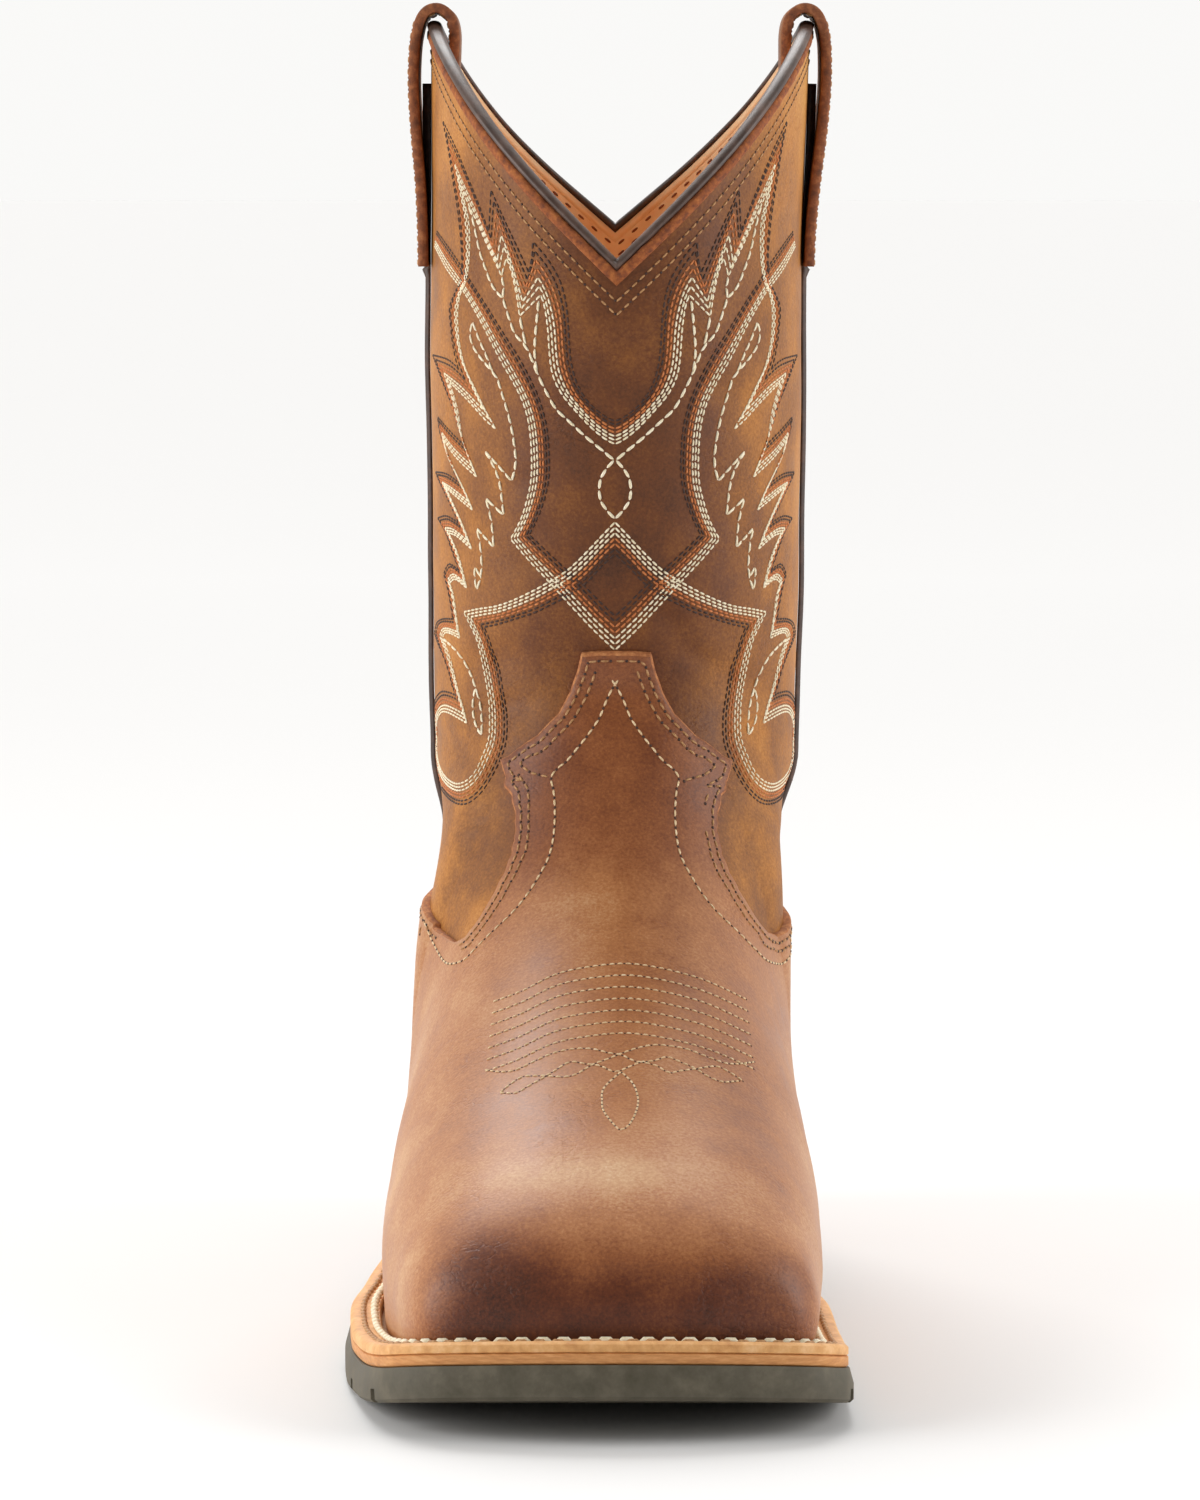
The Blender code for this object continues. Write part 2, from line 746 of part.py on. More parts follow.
def build_midsole(leather):
    plan = Plan(welt_reach)
    layers = [plate_layer(plan, lambda s: outsole_z(s) + GAP), plate_layer(plan, midsole_z)]
    return new_object("midsole", *closed_stack(layers), leather, False)


def build_insole(leather):
    plan = Plan(lambda s: -UPPER_WALL - 1.0)
    layers = [plate_layer(plan, lambda s: midsole_z(s) + GAP),
              plate_layer(plan, lambda s: midsole_z(s) + GAP + INSOLE_WALL)]
    return new_object("insole", *closed_stack(layers), leather, False)


def build_welt(leather):
    """A flat ring on the midsole: outer and inner loop, each at two heights."""
    outer = Plan(welt_reach)
    inner = Plan(lambda s: GAP + OVERLAY_WALL + WELT_CLEARANCE)
    loops = []
    for plan in (outer, inner):
        rows = [(s, *plan.row(s)) for s in plan.stations]
        loops.append([(right, s) for s, _, right in rows] + [(left, s) for s, left, _ in reversed(rows)])
    count = len(loops[0])
    points = []
    for loop in loops:
        for lift in (GAP, GAP + WELT_WALL):
            points += [Vector((x, s, midsole_z(s) + lift)) for x, s in loop]
    faces = []
    for i in range(count):
        j = (i + 1) % count
        low_out, high_out, low_in, high_in = 0, count, 2 * count, 3 * count
        faces.append((low_out + i, low_out + j, high_out + j, high_out + i))
        faces.append((low_in + j, low_in + i, high_in + i, high_in + j))
        faces.append((high_out + i, high_out + j, high_in + j, high_in + i))
        faces.append((low_out + j, low_out + i, low_in + i, low_in + j))
    return new_object("welt", points, faces, leather, False)


def build_outsole(rubber):
    """The rubber plate, wider at its tread, with grooves across."""
    low = Plan(lambda s: welt_reach(s) + OUTSOLE_FLARE)
    high = Plan(lambda s: welt_reach(s) + 0.3)
    layers = [plate_layer(low, tread_z),
              plate_layer(low, lambda s: tread_z(s) + GROOVE_DEPTH + 1.4),
              aligned_layer(high, low, outsole_z)]
    obj = new_object("outsole", *closed_stack(layers), rubber, False)
    for i, s in enumerate(GROOVE_STATIONS):
        cut_groove(obj, i, s)
    return obj


def cut_groove(obj, number, s):
    """Cut one groove straight across the tread."""
    slope = math.atan2(tread_z(s + 1.0) - tread_z(s - 1.0), 2.0)
    half = (BALL_WIDTH, 0.5 * GROOVE_WIDTH, GROOVE_DEPTH)
    points = []
    for x in (-half[0], half[0]):
        for y in (-half[1], half[1]):
            for z in (-half[2], half[2]):
                points.append(Vector((x, s + y * math.cos(slope) - z * math.sin(slope),
                                      tread_z(s) + y * math.sin(slope) + z * math.cos(slope))))
    faces = [(0, 1, 3, 2), (4, 6, 7, 5), (0, 4, 5, 1), (2, 3, 7, 6), (0, 2, 6, 4), (1, 5, 7, 3)]
    name = "groove_cutter_%d" % number
    mesh = bpy.data.meshes.new(name)
    mesh.from_pydata([(p.x * MM, -p.y * MM, p.z * MM) for p in points], [], faces)
    face_outward(mesh)
    cutter = bpy.data.objects.new(name, mesh)
    CUTTERS.objects.link(cutter)
    cutter.hide_render = True
    cutter.display_type = "WIRE"
    cut = obj.modifiers.new(name, "BOOLEAN")
    cut.operation = "DIFFERENCE"
    cut.solver = "EXACT"
    cut.object = cutter


def heel_layer(plan, inset, slant, height):
    """A layer of the heel: its outline drawn in and its back moved forward."""
    layer = []
    first = plan.stations[0]
    for s in plan.stations:
        left, right = plan.row(s)
        place = s + slant * (BREAST_S - s) / (BREAST_S - first)
        taper = 1.0 - inset / 38.0
        layer.append((Vector((left * taper, place, height(place))),
                      Vector((right * taper, place, height(place)))))
    return layer


def build_heel(leather, rubber):
    plan = Plan(lambda s: welt_reach(s) + 0.2, high=BREAST_S)
    lift_top = LIFT_WALL
    stack = [heel_layer(plan, HEEL_TAPER, HEEL_SLANT, lambda s: lift_top + GAP),
             heel_layer(plan, 0.3, 0.3, lambda s: tread_z(s) - GAP)]
    new_object("heel_stack", *closed_stack(stack), leather, False)
    lift = [heel_layer(plan, HEEL_TAPER, HEEL_SLANT, lambda s: 0.0),
            heel_layer(plan, HEEL_TAPER, HEEL_SLANT, lambda s: lift_top)]
    new_object("heel_lift", *closed_stack(lift), rubber, False)


def swept(name, sections, closed, material):
    """A body swept through equal sections, as a ring or with flat ends."""
    size = len(sections[0])
    points = [p for section in sections for p in section]
    faces = []
    spans = len(sections) if closed else len(sections) - 1
    for i in range(spans):
        a = i * size
        b = ((i + 1) % len(sections)) * size
        for k in range(size):
            n = (k + 1) % size
            faces.append((a + k, a + n, b + n, b + k))
    if not closed:
        faces.append(tuple(reversed(range(size))))
        last = (len(sections) - 1) * size
        faces.append(tuple(last + k for k in range(size)))
    return new_object(name, points, faces, material, True)


def build_binding(leather):
    """The rolled edge along the collar, seated on the rim."""
    profile = ((-1.0, 0.0), (-1.0, 0.45), (-0.72, 0.82), (-0.25, 1.0),
               (0.25, 1.0), (0.72, 0.82), (1.0, 0.45), (1.0, 0.0))
    rim = [knot(c, 0, -0.5 * UPPER_WALL) for c in range(AROUND)]
    sections = []
    for c in range(AROUND):
        before = (rim[c] - rim[c - 1]).normalized()
        after = (rim[(c + 1) % AROUND] - rim[c]).normalized()
        along = (before + after).normalized()
        out = (NORMALS[0][c] * OUTWARD)
        up = out.cross(along).normalized()
        if up.z < 0.0:
            up = -up
        out = (out - along * out.dot(along)).normalized()
        mitre = 1.0 / max(along.dot(after), 0.6)
        sections.append([rim[c] + out * (x * BINDING_HALF_WIDTH)
                         + up * ((GAP + y * BINDING_HEIGHT) * mitre) for x, y in profile])
    return swept("collar_binding", sections, True, leather)


def build_piping(name, c, leather):
    """The raised side seam, from under the strap to the welt."""
    seam = AROUND - FRONT_COLUMNS if c == LATERAL else FRONT_COLUMNS
    top = row_at_height(seam, SHAFT_TOP + STRAP_PATH[0][1] - PIPING_BELOW_STRAP)
    low = LAST_ROW - OVERLAY_FOOT
    rows = [top] + [float(r) for r in range(math.ceil(top), LAST_ROW)] + [low]
    profile = ((-1.0, 0.0), (-0.75, 0.7), (0.0, 1.0), (0.75, 0.7), (1.0, 0.0))
    sections = []
    for r in rows:
        base = skin(seam, r, 0.0)
        out = (skin(seam, r, 1.0) - base).normalized()
        near = skin(seam, max(r - 0.4, 0.0), 0.0)
        far = skin(seam, min(r + 0.4, LAST_ROW), 0.0)
        across = out.cross((far - near).normalized()).normalized()
        deep = blend(PIPING_SHAFT_HEIGHT, PIPING_FOOT_HEIGHT, ease(PIPING_SHALLOW_ABOVE, PIPING_DEEP_BELOW, base.z))
        sections.append([base + across * (x * PIPING_HALF_WIDTH) + out * (GAP + y * deep)
                         for x, y in profile])
    return swept(name, sections, False, leather)


def build_strap(name, side, leather):
    """A pull strap that loops over the collar at the side seam."""
    seam = AROUND - FRONT_COLUMNS if side == LATERAL else FRONT_COLUMNS
    middle = []
    for out, rise in STRAP_PATH:
        z = SHAFT_TOP + rise
        row = row_at_height(seam, min(z, SHAFT_TOP - 0.01))
        middle.append((abs(skin(seam, row, 0.0).x) + out, z))
    sections = []
    for i, (x, z) in enumerate(middle):
        before = middle[max(i - 1, 0)]
        after = middle[min(i + 1, len(middle) - 1)]
        dx = after[0] - before[0]
        dz = after[1] - before[1]
        length = math.hypot(dx, dz)
        nx = dz / length * 0.5 * STRAP_WALL
        nz = -dx / length * 0.5 * STRAP_WALL
        half = 0.5 * STRAP_WIDTH
        sections.append([Vector((side * (x + sign * nx), SEAM_S + reach, z + sign * nz))
                         for sign, reach in ((1.0, -half), (1.0, half), (-1.0, half), (-1.0, -half))])
    return swept(name, sections, False, leather)


def centre_on_floor():
    """Put the middle of the whole boot's box over the origin."""
    corners = [v.co for obj in PARTS.objects for v in obj.data.vertices]
    x = 0.5 * (min(p.x for p in corners) + max(p.x for p in corners))
    y = 0.5 * (min(p.y for p in corners) + max(p.y for p in corners))
    for collection in (PARTS, CUTTERS):
        for obj in collection.objects:
            for vertex in obj.data.vertices:
                vertex.co.x -= x
                vertex.co.y -= y


def clear_scene():
    for obj in list(bpy.data.objects):
        bpy.data.objects.remove(obj, do_unlink=True)


def make_collection(name):
    collection = bpy.data.collections.new(name)
    bpy.context.scene.collection.children.link(collection)
    return collection


clear_scene()
PARTS = make_collection("western_boot")
CUTTERS = make_collection("cutters")

build_upper(make_material("upper_leather", (0.25, 0.11, 0.045), 0.55))
build_vamp(make_material("vamp_leather", (0.28, 0.12, 0.05), 0.5))
build_counter(make_material("counter_leather", (0.26, 0.11, 0.045), 0.5))
build_insole(make_material("insole_leather", (0.60, 0.36, 0.20), 0.8))
build_welt(make_material("welt_leather", (0.58, 0.30, 0.12), 0.6))
build_midsole(make_material("midsole_leather", (0.50, 0.25, 0.10), 0.6))
build_outsole(make_material("outsole_rubber", (0.12, 0.11, 0.075), 0.7))
build_heel(make_material("heel_leather", (0.42, 0.20, 0.08), 0.6),
           make_material("lift_rubber", (0.10, 0.09, 0.065), 0.75))
build_binding(make_material("binding_leather", (0.07, 0.05, 0.04), 0.4))
build_piping("piping_lateral", LATERAL, make_material("piping_lateral_leather", (0.09, 0.05, 0.03), 0.5))
build_piping("piping_medial", MEDIAL, make_material("piping_medial_leather", (0.09, 0.05, 0.03), 0.5))
build_strap("strap_lateral", LATERAL, make_material("strap_lateral_leather", (0.27, 0.12, 0.05), 0.6))
build_strap("strap_medial", MEDIAL, make_material("strap_medial_leather", (0.27, 0.12, 0.05), 0.6))
centre_on_floor()
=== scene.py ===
"""Looks of a right western work boot: leather, stitching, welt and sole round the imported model.

Lengths are in millimetres until the meshes are written, in metres. The boot's own directions
are x towards the big toe's side, s from the back of the heel to the toe, and z up.
"""

import math
from bisect import bisect_right

import bpy
import numpy as np
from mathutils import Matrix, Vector, noise
from mathutils.bvhtree import BVHTree
from mathutils.geometry import delaunay_2d_cdt

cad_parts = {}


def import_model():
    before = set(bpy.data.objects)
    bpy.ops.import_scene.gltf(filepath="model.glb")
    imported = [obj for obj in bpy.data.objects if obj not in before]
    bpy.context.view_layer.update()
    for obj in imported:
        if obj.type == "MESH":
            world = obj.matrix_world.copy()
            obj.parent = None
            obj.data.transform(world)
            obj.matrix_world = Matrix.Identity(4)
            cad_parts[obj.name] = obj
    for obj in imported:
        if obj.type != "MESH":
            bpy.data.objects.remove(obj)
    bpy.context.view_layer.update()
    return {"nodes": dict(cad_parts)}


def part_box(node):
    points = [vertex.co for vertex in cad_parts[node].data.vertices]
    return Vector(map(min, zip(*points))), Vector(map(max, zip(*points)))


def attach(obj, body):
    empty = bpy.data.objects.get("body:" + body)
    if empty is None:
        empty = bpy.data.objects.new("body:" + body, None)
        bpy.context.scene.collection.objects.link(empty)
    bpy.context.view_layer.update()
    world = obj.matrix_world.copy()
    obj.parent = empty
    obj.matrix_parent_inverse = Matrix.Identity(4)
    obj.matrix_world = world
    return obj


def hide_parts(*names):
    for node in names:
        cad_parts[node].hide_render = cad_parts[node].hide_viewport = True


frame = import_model()

MM = 0.001

# Driving sizes of the boot
SOLE_LENGTH = 310.0
LAST_LENGTH = 299.2
SHAFT_TOP = 302.6
SHAFT_DEPTH = 146.0
SHAFT_HALF_WIDTH = 45.4
INSTEP_RISE = 100.7
HEEL_RISE = 64.0
HEEL_HEIGHT = 30.0
TOE_SPRING = 10.0
SEAM_S = 75.0
GAP = 0.3
UPPER_WALL = 2.2
OVERLAY_WALL = 1.7
OVERLAY_TOP = GAP + OVERLAY_WALL
OUTSOLE_WALL = 7.7
MIDSOLE_WALL = 2.2
WELT_WALL = 2.5
UPPER_LIFT = 0.5
WELT_CLEARANCE = 0.6
WELT_REACH_FOREPART = 9.6
WELT_REACH_HEEL = 5.5
WELT_SPREAD_FROM = 60.0
WELT_SPREAD_TO = 130.0
WELT_BED_OUT = 0.4
OUTSOLE_FLARE = 1.2
OUTSOLE_TOP_REACH = 0.3
GROOVE_STATIONS = (287.0, 256.0, 225.0, 194.0, 163.0)
GROOVE_WIDTH = 3.2
GROOVE_DEPTH = 3.0
GROOVE_HALF_LENGTH = 111.0
BREAST_S = 76.0
LIFT_WALL = 7.0
HEEL_TAPER = 2.0
HEEL_SLANT = 3.5
HEEL_HALF_WIDTH = 38.0
HEEL_TOP_INSET = 0.3
HEEL_FLARE = 0.2
STACK_LAYERS = 4
STRAP_WIDTH = 28.0
STRAP_WALL = 2.4
LATERAL = -1.0
MEDIAL = 1.0

SOLE_PROFILE = (
    # share of length, of heel height, of toe spring, of outsole wall
    (0.00, 1.00, 0.00, 0.62),
    (0.14, 1.00, 0.00, 0.62),
    (0.24, 0.93, 0.00, 0.62),
    (0.33, 0.76, 0.00, 0.62),
    (0.42, 0.50, 0.00, 0.66),
    (0.50, 0.24, 0.00, 0.80),
    (0.56, 0.08, 0.00, 0.94),
    (0.62, 0.00, 0.00, 1.00),
    (0.76, 0.00, 0.00, 1.00),
    (0.84, 0.00, 0.12, 1.00),
    (0.92, 0.00, 0.45, 1.00),
    (1.00, 0.00, 1.00, 1.00),
)
LAST_PLAN = (
    # behind the toe tip, lateral, medial, lateral swell, medial swell
    (0.0, 0.0, 0.0, 0.6, 0.8),
    (3.5, 27.5, 23.0, 0.8, 1.2),
    (6.0, 35.3, 31.0, 1.0, 1.3),
    (9.4, 40.0, 37.6, 1.0, 1.4),
    (17.0, 43.2, 40.4, 1.0, 1.8),
    (36.0, 46.8, 40.2, 1.0, 3.0),
    (60.0, 49.9, 39.6, 1.0, 5.0),
    (85.0, 51.0, 38.8, 1.2, 6.2),
    (113.0, 48.6, 34.6, 3.2, 10.0),
    (145.0, 42.6, 29.5, 7.0, 13.0),
    (170.0, 39.2, 27.6, 9.4, 13.8),
    (200.0, 36.2, 27.2, 8.4, 13.8),
    (235.0, 33.6, 29.0, 5.5, 10.0),
    (270.0, 32.4, 30.0, 3.4, 5.4),
    (300.0, 32.0, 30.0, 2.5, 4.0),
)
SHAFT_SECTIONS = (
    # front, back, front height, back height, lateral, medial
    (1.007, 0.007, 0.8073, 0.8301, 0.998, 1.046),
    (1.007, 0.007, 0.7770, 0.7770, 1.000, 1.005),
    (0.976, 0.021, 0.6610, 0.6610, 1.000, 1.000),
    (0.945, 0.041, 0.5550, 0.5550, 1.000, 0.998),
    (0.911, 0.062, 0.4890, 0.4630, 0.995, 0.985),
    (0.938, 0.068, 0.4430, 0.3900, 0.985, 0.975),
)
FOOT_SECTIONS = (
    # front, front rise, back, back rise, lateral, medial, foot share
    (0.487, 1.000, 9.5, 1.000, 0.985, 0.975, 0.35),
    (0.531, 0.895, 6.4, 0.812, 0.990, 0.970, 0.60),
    (0.585, 0.804, 4.0, 0.656, 1.000, 0.970, 0.85),
    (0.649, 0.717, 2.2, 0.516, 1.000, 0.970, 1.00),
    (0.716, 0.622, 1.3, 0.406, 1.000, 0.970, 1.00),
    (0.793, 0.532, 1.5, 0.312, 1.000, 0.970, 1.00),
    (0.860, 0.458, 2.2, 0.250, 1.000, 0.970, 1.00),
    (0.913, 0.377, 3.1, 0.195, 1.000, 0.970, 1.00),
    (0.9525, 0.292, 4.0, 0.156, 1.000, 0.970, 1.00),
    (0.981, 0.198, 4.9, 0.117, 1.000, 0.970, 1.00),
    (0.996, 0.114, 5.6, 0.078, 1.000, 0.970, 1.00),
    (1.000, 0.000, 6.4, 0.000, 1.000, 0.970, 1.00),
)
ROUNDNESS = ((0.0, 2.4), (133.0, 2.4), (190.0, 2.9), (240.0, 3.3), (285.0, 3.6))
HEEL_ROUND_REACH = 55.0
HEEL_ROUNDNESS = 2.4
SHAFT_ROUNDNESS = 2.25
SWELL_RISE = 0.35
RIDGE_SLOPE_ABOVE_THROAT = 8.0
THROAT = 4.0
FOOT_START = 6.0
FEATHER = 17.0
FOLLOW_POWER = 1.5
RIDGE_STEP = 0.02
TURN_WEIGHT = 25.0

# Fine grid: columns on each side behind and before the side seam, and the step between rows
BACK_COLUMNS = 40
FRONT_COLUMNS = 66
COLUMNS = BACK_COLUMNS + FRONT_COLUMNS
AROUND = 2 * COLUMNS
ROW_STEP = 2.0
BACK_SAMPLES = 60
FRONT_SAMPLES = 120

# Sole's plan: samples on each side and points of the evenly spaced loop
PLAN_SAMPLES = 260
PLAN_POINTS = 420

# Angles, in degrees, from which an edge stays sharp
OUTSOLE_SHARP_FROM = 35.0
WELT_SHARP_FROM = 50.0
HEEL_SHARP_FROM = 40.0

# Overlays: the vamp's upper edge seen from the front, the seams and the side groove
VAMP_EDGE = (
    # seen from the front: distance from the middle, height
    (4.0, 155.6),
    (8.2, 155.2),
    (9.2, 150.5),
    (10.7, 145.7),
    (13.4, 140.1),
    (18.2, 134.9),
    (24.9, 129.5),
    (27.0, 128.4),
    (25.9, 124.0),
    (24.2, 120.5),
    (23.2, 116.2),
    (23.5, 110.6),
    (25.0, 105.4),
    (27.7, 99.2),
    (31.2, 93.1),
    (34.4, 88.6),
    (36.8, 87.0),
    (39.2, 87.8),
)
VAMP_SEAM_HEIGHT = 99.0
COUNTER_SEAM_HEIGHT = 100.0
COUNTER_BACK_HEIGHT = 112.0
SEAM_GROOVE = 0.9
OVERLAY_FOOT = 0.5
RIM_STEP = 0.7
RIM_SOFT = 0.55
RIM_KEEP_OFF = 1.5
RIM_BASE = 0.05

# Collar: the roll's half width, its middle and half height over the rim, and the raw edge's section
ROLL_HALF = 1.75
ROLL_OUT = 0.35
ROLL_MIDDLE = 2.3
ROLL_RISE = 1.1
COLLAR_EDGE = ((-1.12, -0.5), (-1.12, 1.4), (1.6, 1.3), (1.95, 0.7), (2.05, 0.0), (1.9, -0.7), (1.5, -1.2),
               (0.9, -1.3))
COLLAR_EDGE_KINDS = (1, 0, 0, 0, 0, 0, 0, 0)
COLLAR_EDGE_WAVES = ((0.9, 0.28), (2.3, 0.2))
COLLAR_EDGE_ROUGH_FROM = 1.2
ROLL_TURNS = 14

# Middle of a pull strap
STRAP_PATH = (
    # outward from the side seam, height above the shaft's top
    (1.60, -56.6),
    (1.75, -48.6),
    (2.40, -36.6),
    (3.50, -23.6),
    (4.05, -12.6),
    (3.85, -4.6),
    (3.30, -0.1),
    (2.20, 3.7),
    (0.30, 5.8),
    (-2.40, 6.1),
    (-4.90, 4.2),
    (-5.90, 0.8),
    (-5.90, -4.6),
    (-5.45, -17.6),
    (-5.30, -40.6),
)
STRAP_SEAM_INSET = 3.0
STRAP_FREE = 2.2
STRAP_CLEARANCE = 0.15

# Side piping: where it starts, its half width and how far it stands out above and at its foot
PIPING_TOP = 12.0
PIPING_FOOT = 2.8
PIPING_HALF_WIDTH = 1.35
PIPING_RISE = 1.2
# Under the strap the dark bead rises into the gap, standing in for the shade there
PIPING_SHADE_FILL_UNDER_STRAP = 2.0
PIPING_SINK = 0.1
PIPING_TURNS = 8
PIPING_SHALLOW_ABOVE = 112.0
PIPING_DEEP_BELOW = 96.0

# Soft troughs in the leather, seen from the front: x, z, direction in degrees, length, width, depth
CREASES = (
    (-33.0, 151.0, 20.0, 28.0, 3.0, 1.0),
    (-29.0, 141.0, 8.0, 26.0, 2.8, 0.9),
    (-36.0, 129.0, -12.0, 24.0, 3.0, 0.8),
    (-35.0, 114.0, 14.0, 17.0, 2.0, 0.8),
    (-36.0, 108.5, 8.0, 14.0, 2.0, 0.6),
    (-20.0, 176.0, -8.0, 20.0, 2.2, 0.5),
    (-17.0, 184.0, 6.0, 18.0, 2.0, 0.4),
    (34.0, 146.0, -18.0, 26.0, 3.0, 0.9),
    (31.0, 134.0, -6.0, 22.0, 3.0, 0.8),
    (37.0, 118.0, 14.0, 20.0, 2.6, 0.8),
    (34.0, 109.0, -10.0, 16.0, 2.2, 0.6),
    (12.0, 163.0, -35.0, 24.0, 3.0, 0.7),
    (19.0, 154.0, -25.0, 18.0, 2.4, 0.6),
    (-22.0, 196.0, 12.0, 20.0, 2.4, 0.4),
    (26.0, 218.0, -25.0, 24.0, 2.8, 0.4),
    (24.0, 186.0, 10.0, 22.0, 2.4, 0.4),
    (-8.0, 106.0, 4.0, 34.0, 5.0, 0.6),
    (0.0, 84.0, -3.0, 46.0, 6.0, 0.5),
)
BACK_CREASES = (
    (-12.0, 128.0, 6.0, 40.0, 4.0, 1.1),
    (10.0, 141.0, -5.0, 38.0, 4.0, 1.0),
    (0.0, 155.0, 3.0, 34.0, 4.0, 0.6),
)
CREASE_SHOULDER = 0.45
CREASE_SHOULDER_AT = 1.8
CREASE_REACH = (60.0, 40.0)
SOFT_WAVES = ((0.021, 0.55), (0.06, 0.18))

# Stitch lines read off the photograph in its own pixels, for the half left of the mirror line
MIRROR_PX = 615.0
EDGE_TRIES = 14
STITCH_SIDES = 5
BAND_ROWS = ("cream", "cream", "cream", "rust", "rust", "dark", "dark")
STITCH_FLATNESS = 0.8
STITCH_SINK = 0.55

# Share of a stitch's length and of its radius
STITCH_PROFILE = ((0.0, 0.4), (0.25, 1.0), (0.75, 1.0), (1.0, 0.4))

# Radii of the threads and where their rows run
BAND_RADIUS = 0.25
LINE_RADIUS = 0.36
WELT_STITCH_RADIUS = 0.95
WELT_STITCH_OUT = 1.5
WELT_STITCH_RISE = 0.35
SOLE_STITCH_RADIUS = 0.7
SOLE_STITCH_INSET = 3.0
SOLE_STITCH_RISE = 0.1
DASH_RADIUS = 0.3
DASH_DEPTHS = (1.4, 3.6, 5.8)
COLLAR_SEAM_DEPTHS = (3.9, 6.2)
EDGE_SEAM_INSETS = (2.0, 4.1)
SEAM_GAP = 6.0
ORNAMENT_GAP = 9.0

# Where the overlays' seams end: columns from the side groove, rows below a height under the seam
SEAM_DROP = 6.0
VAMP_SEAM_STOP = 2.5
VAMP_SEAM_BEND = 8.0
VAMP_SEAM_ROWS = 14.0
COUNTER_SEAM_STOP = 2.0
COUNTER_SEAM_ROWS = 4.0

# Pitch of a row and the part of each step that a stitch or a needle hole covers
BAND_STITCH = (1.85, 0.08, 0.92)
LINE_STITCH = (3.0, 0.05, 0.93)
WELT_STITCH = (4.5, 0.04, 0.94)
SOLE_STITCH = (4.0, 0.05, 0.92)
DASH_STITCH = (4.6, 0.1, 0.55)
THREAD_SHARE = (0.02, 0.66)
HOLE_SHARE = (0.70, 0.98)

# Seams: pitch, radius of the thread and of its needle holes
COLLAR_SEAM = (2.5, 0.24, 0.3)
STRAP_SEAM = (2.9, 0.28, 0.3)
EDGE_SEAM = (2.9, 0.28, 0.36)
INNER_SEAM = (2.7, 0.26, 0.32)
INSTEP_SEAM = (1.9, 0.25, 0.24)

# Each run: cream edge x and y, dark edge x and y
FLAME_BAND = (
    # diamond's top to the loop's corner
    ((615, 522, 615, 554), (600, 538, 601, 567), (584, 555, 586, 583), (568, 570, 570, 595),
     (551, 581, 552, 604), (533, 591, 536, 612), (514, 600, 518, 618), (497, 606, 502, 623),
     (478, 609, 490, 626), (464, 612, 484, 627)),
    # down and round the loop
    ((464, 612, 484, 627), (471, 626, 489, 638), (478, 642, 493, 652), (484, 669, 499, 668),
     (489, 698, 504, 697), (490, 718, 507, 719), (489, 739, 506, 742), (482, 758, 500, 760),
     (476, 771, 491, 778), (468, 780, 480, 794), (458, 784, 466, 804), (449, 780, 452, 801),
     (442, 771, 440, 786), (438, 757, 434, 762), (437, 739, 432, 740), (437, 723, 432, 720),
     (441, 713, 434, 703), (447, 712, 441, 692), (457, 717, 451, 693), (467, 723, 458, 697)),
    # flames up the outer side
    ((467, 723, 458, 697), (464, 710, 453, 688), (459, 693, 449, 672), (454, 672, 443, 655),
     (449, 653, 438, 643), (443, 638, 435, 633)),
    ((443, 638, 435, 633), (445, 633, 437, 623), (450, 633, 443, 619), (460, 638, 453, 619)),
    ((460, 638, 453, 619), (457, 618, 451, 605), (454, 596, 447, 585), (450, 583, 444, 574)),
    ((450, 583, 444, 574), (456, 579, 449, 564), (467, 588, 459, 570)),
    ((467, 588, 459, 570), (461, 563, 452, 550), (455, 546, 446, 533), (449, 533, 438, 518)),
    ((449, 533, 438, 518), (457, 536, 447, 516), (472, 549, 459, 523)),
    ((472, 549, 459, 523), (465, 530, 454, 512), (458, 514, 447, 497), (450, 496, 439, 480),
     (446, 487, 436, 472)),
    ((446, 487, 436, 472), (456, 496, 447, 474), (473, 510, 461, 484)),
    ((473, 510, 461, 484), (465, 491, 455, 474), (457, 475, 448, 455), (449, 458, 441, 436),
     (444, 440, 438, 417)),
    ((444, 440, 438, 417), (457, 458, 450, 431), (477, 477, 465, 446)),
    ((477, 477, 465, 446), (468, 455, 458, 425), (462, 436, 452, 405), (458, 410, 444, 385),
     (450, 382, 433, 355)),
    ((450, 382, 433, 355), (468, 400, 447, 359), (485, 419, 456, 366), (496, 429, 459, 370)),
    # up past the crossing to the long flame's tip
    ((496, 429, 459, 370), (484, 407, 456, 360), (474, 386, 454, 350), (466, 369, 452, 338),
     (461, 350, 451, 326), (459, 336, 450, 318), (458, 312, 450, 306), (461, 293, 455, 293),
     (466, 282, 461, 279), (469, 264, 462, 257), (470, 240, 460, 229), (469, 220, 457, 204),
     (466, 207, 453, 180), (463, 193, 449, 152), (461, 185, 443, 121)),
    # down its inner side and over the two spikes
    ((461, 185, 443, 121), (470, 207, 456, 148), (478, 223, 467, 175), (487, 244, 477, 200),
     (495, 261, 484, 219), (502, 276, 489, 231)),
    ((502, 276, 489, 231), (504, 267, 490, 210), (507, 258, 491, 190)),
    ((507, 258, 491, 190), (512, 272, 502, 215), (517, 296, 516, 245), (520, 316, 529, 273)),
    ((520, 316, 529, 273), (531, 305, 532, 257), (541, 295, 533, 242)),
    # the middle loop
    ((541, 295, 533, 242), (545, 307, 548, 260), (548, 328, 561, 284), (549, 342, 567, 311),
     (550, 356, 569, 342), (553, 375, 571, 362), (562, 394, 577, 384), (577, 412, 588, 402),
     (593, 429, 600, 413), (607, 440, 609, 419), (615, 444, 615, 421)),
)
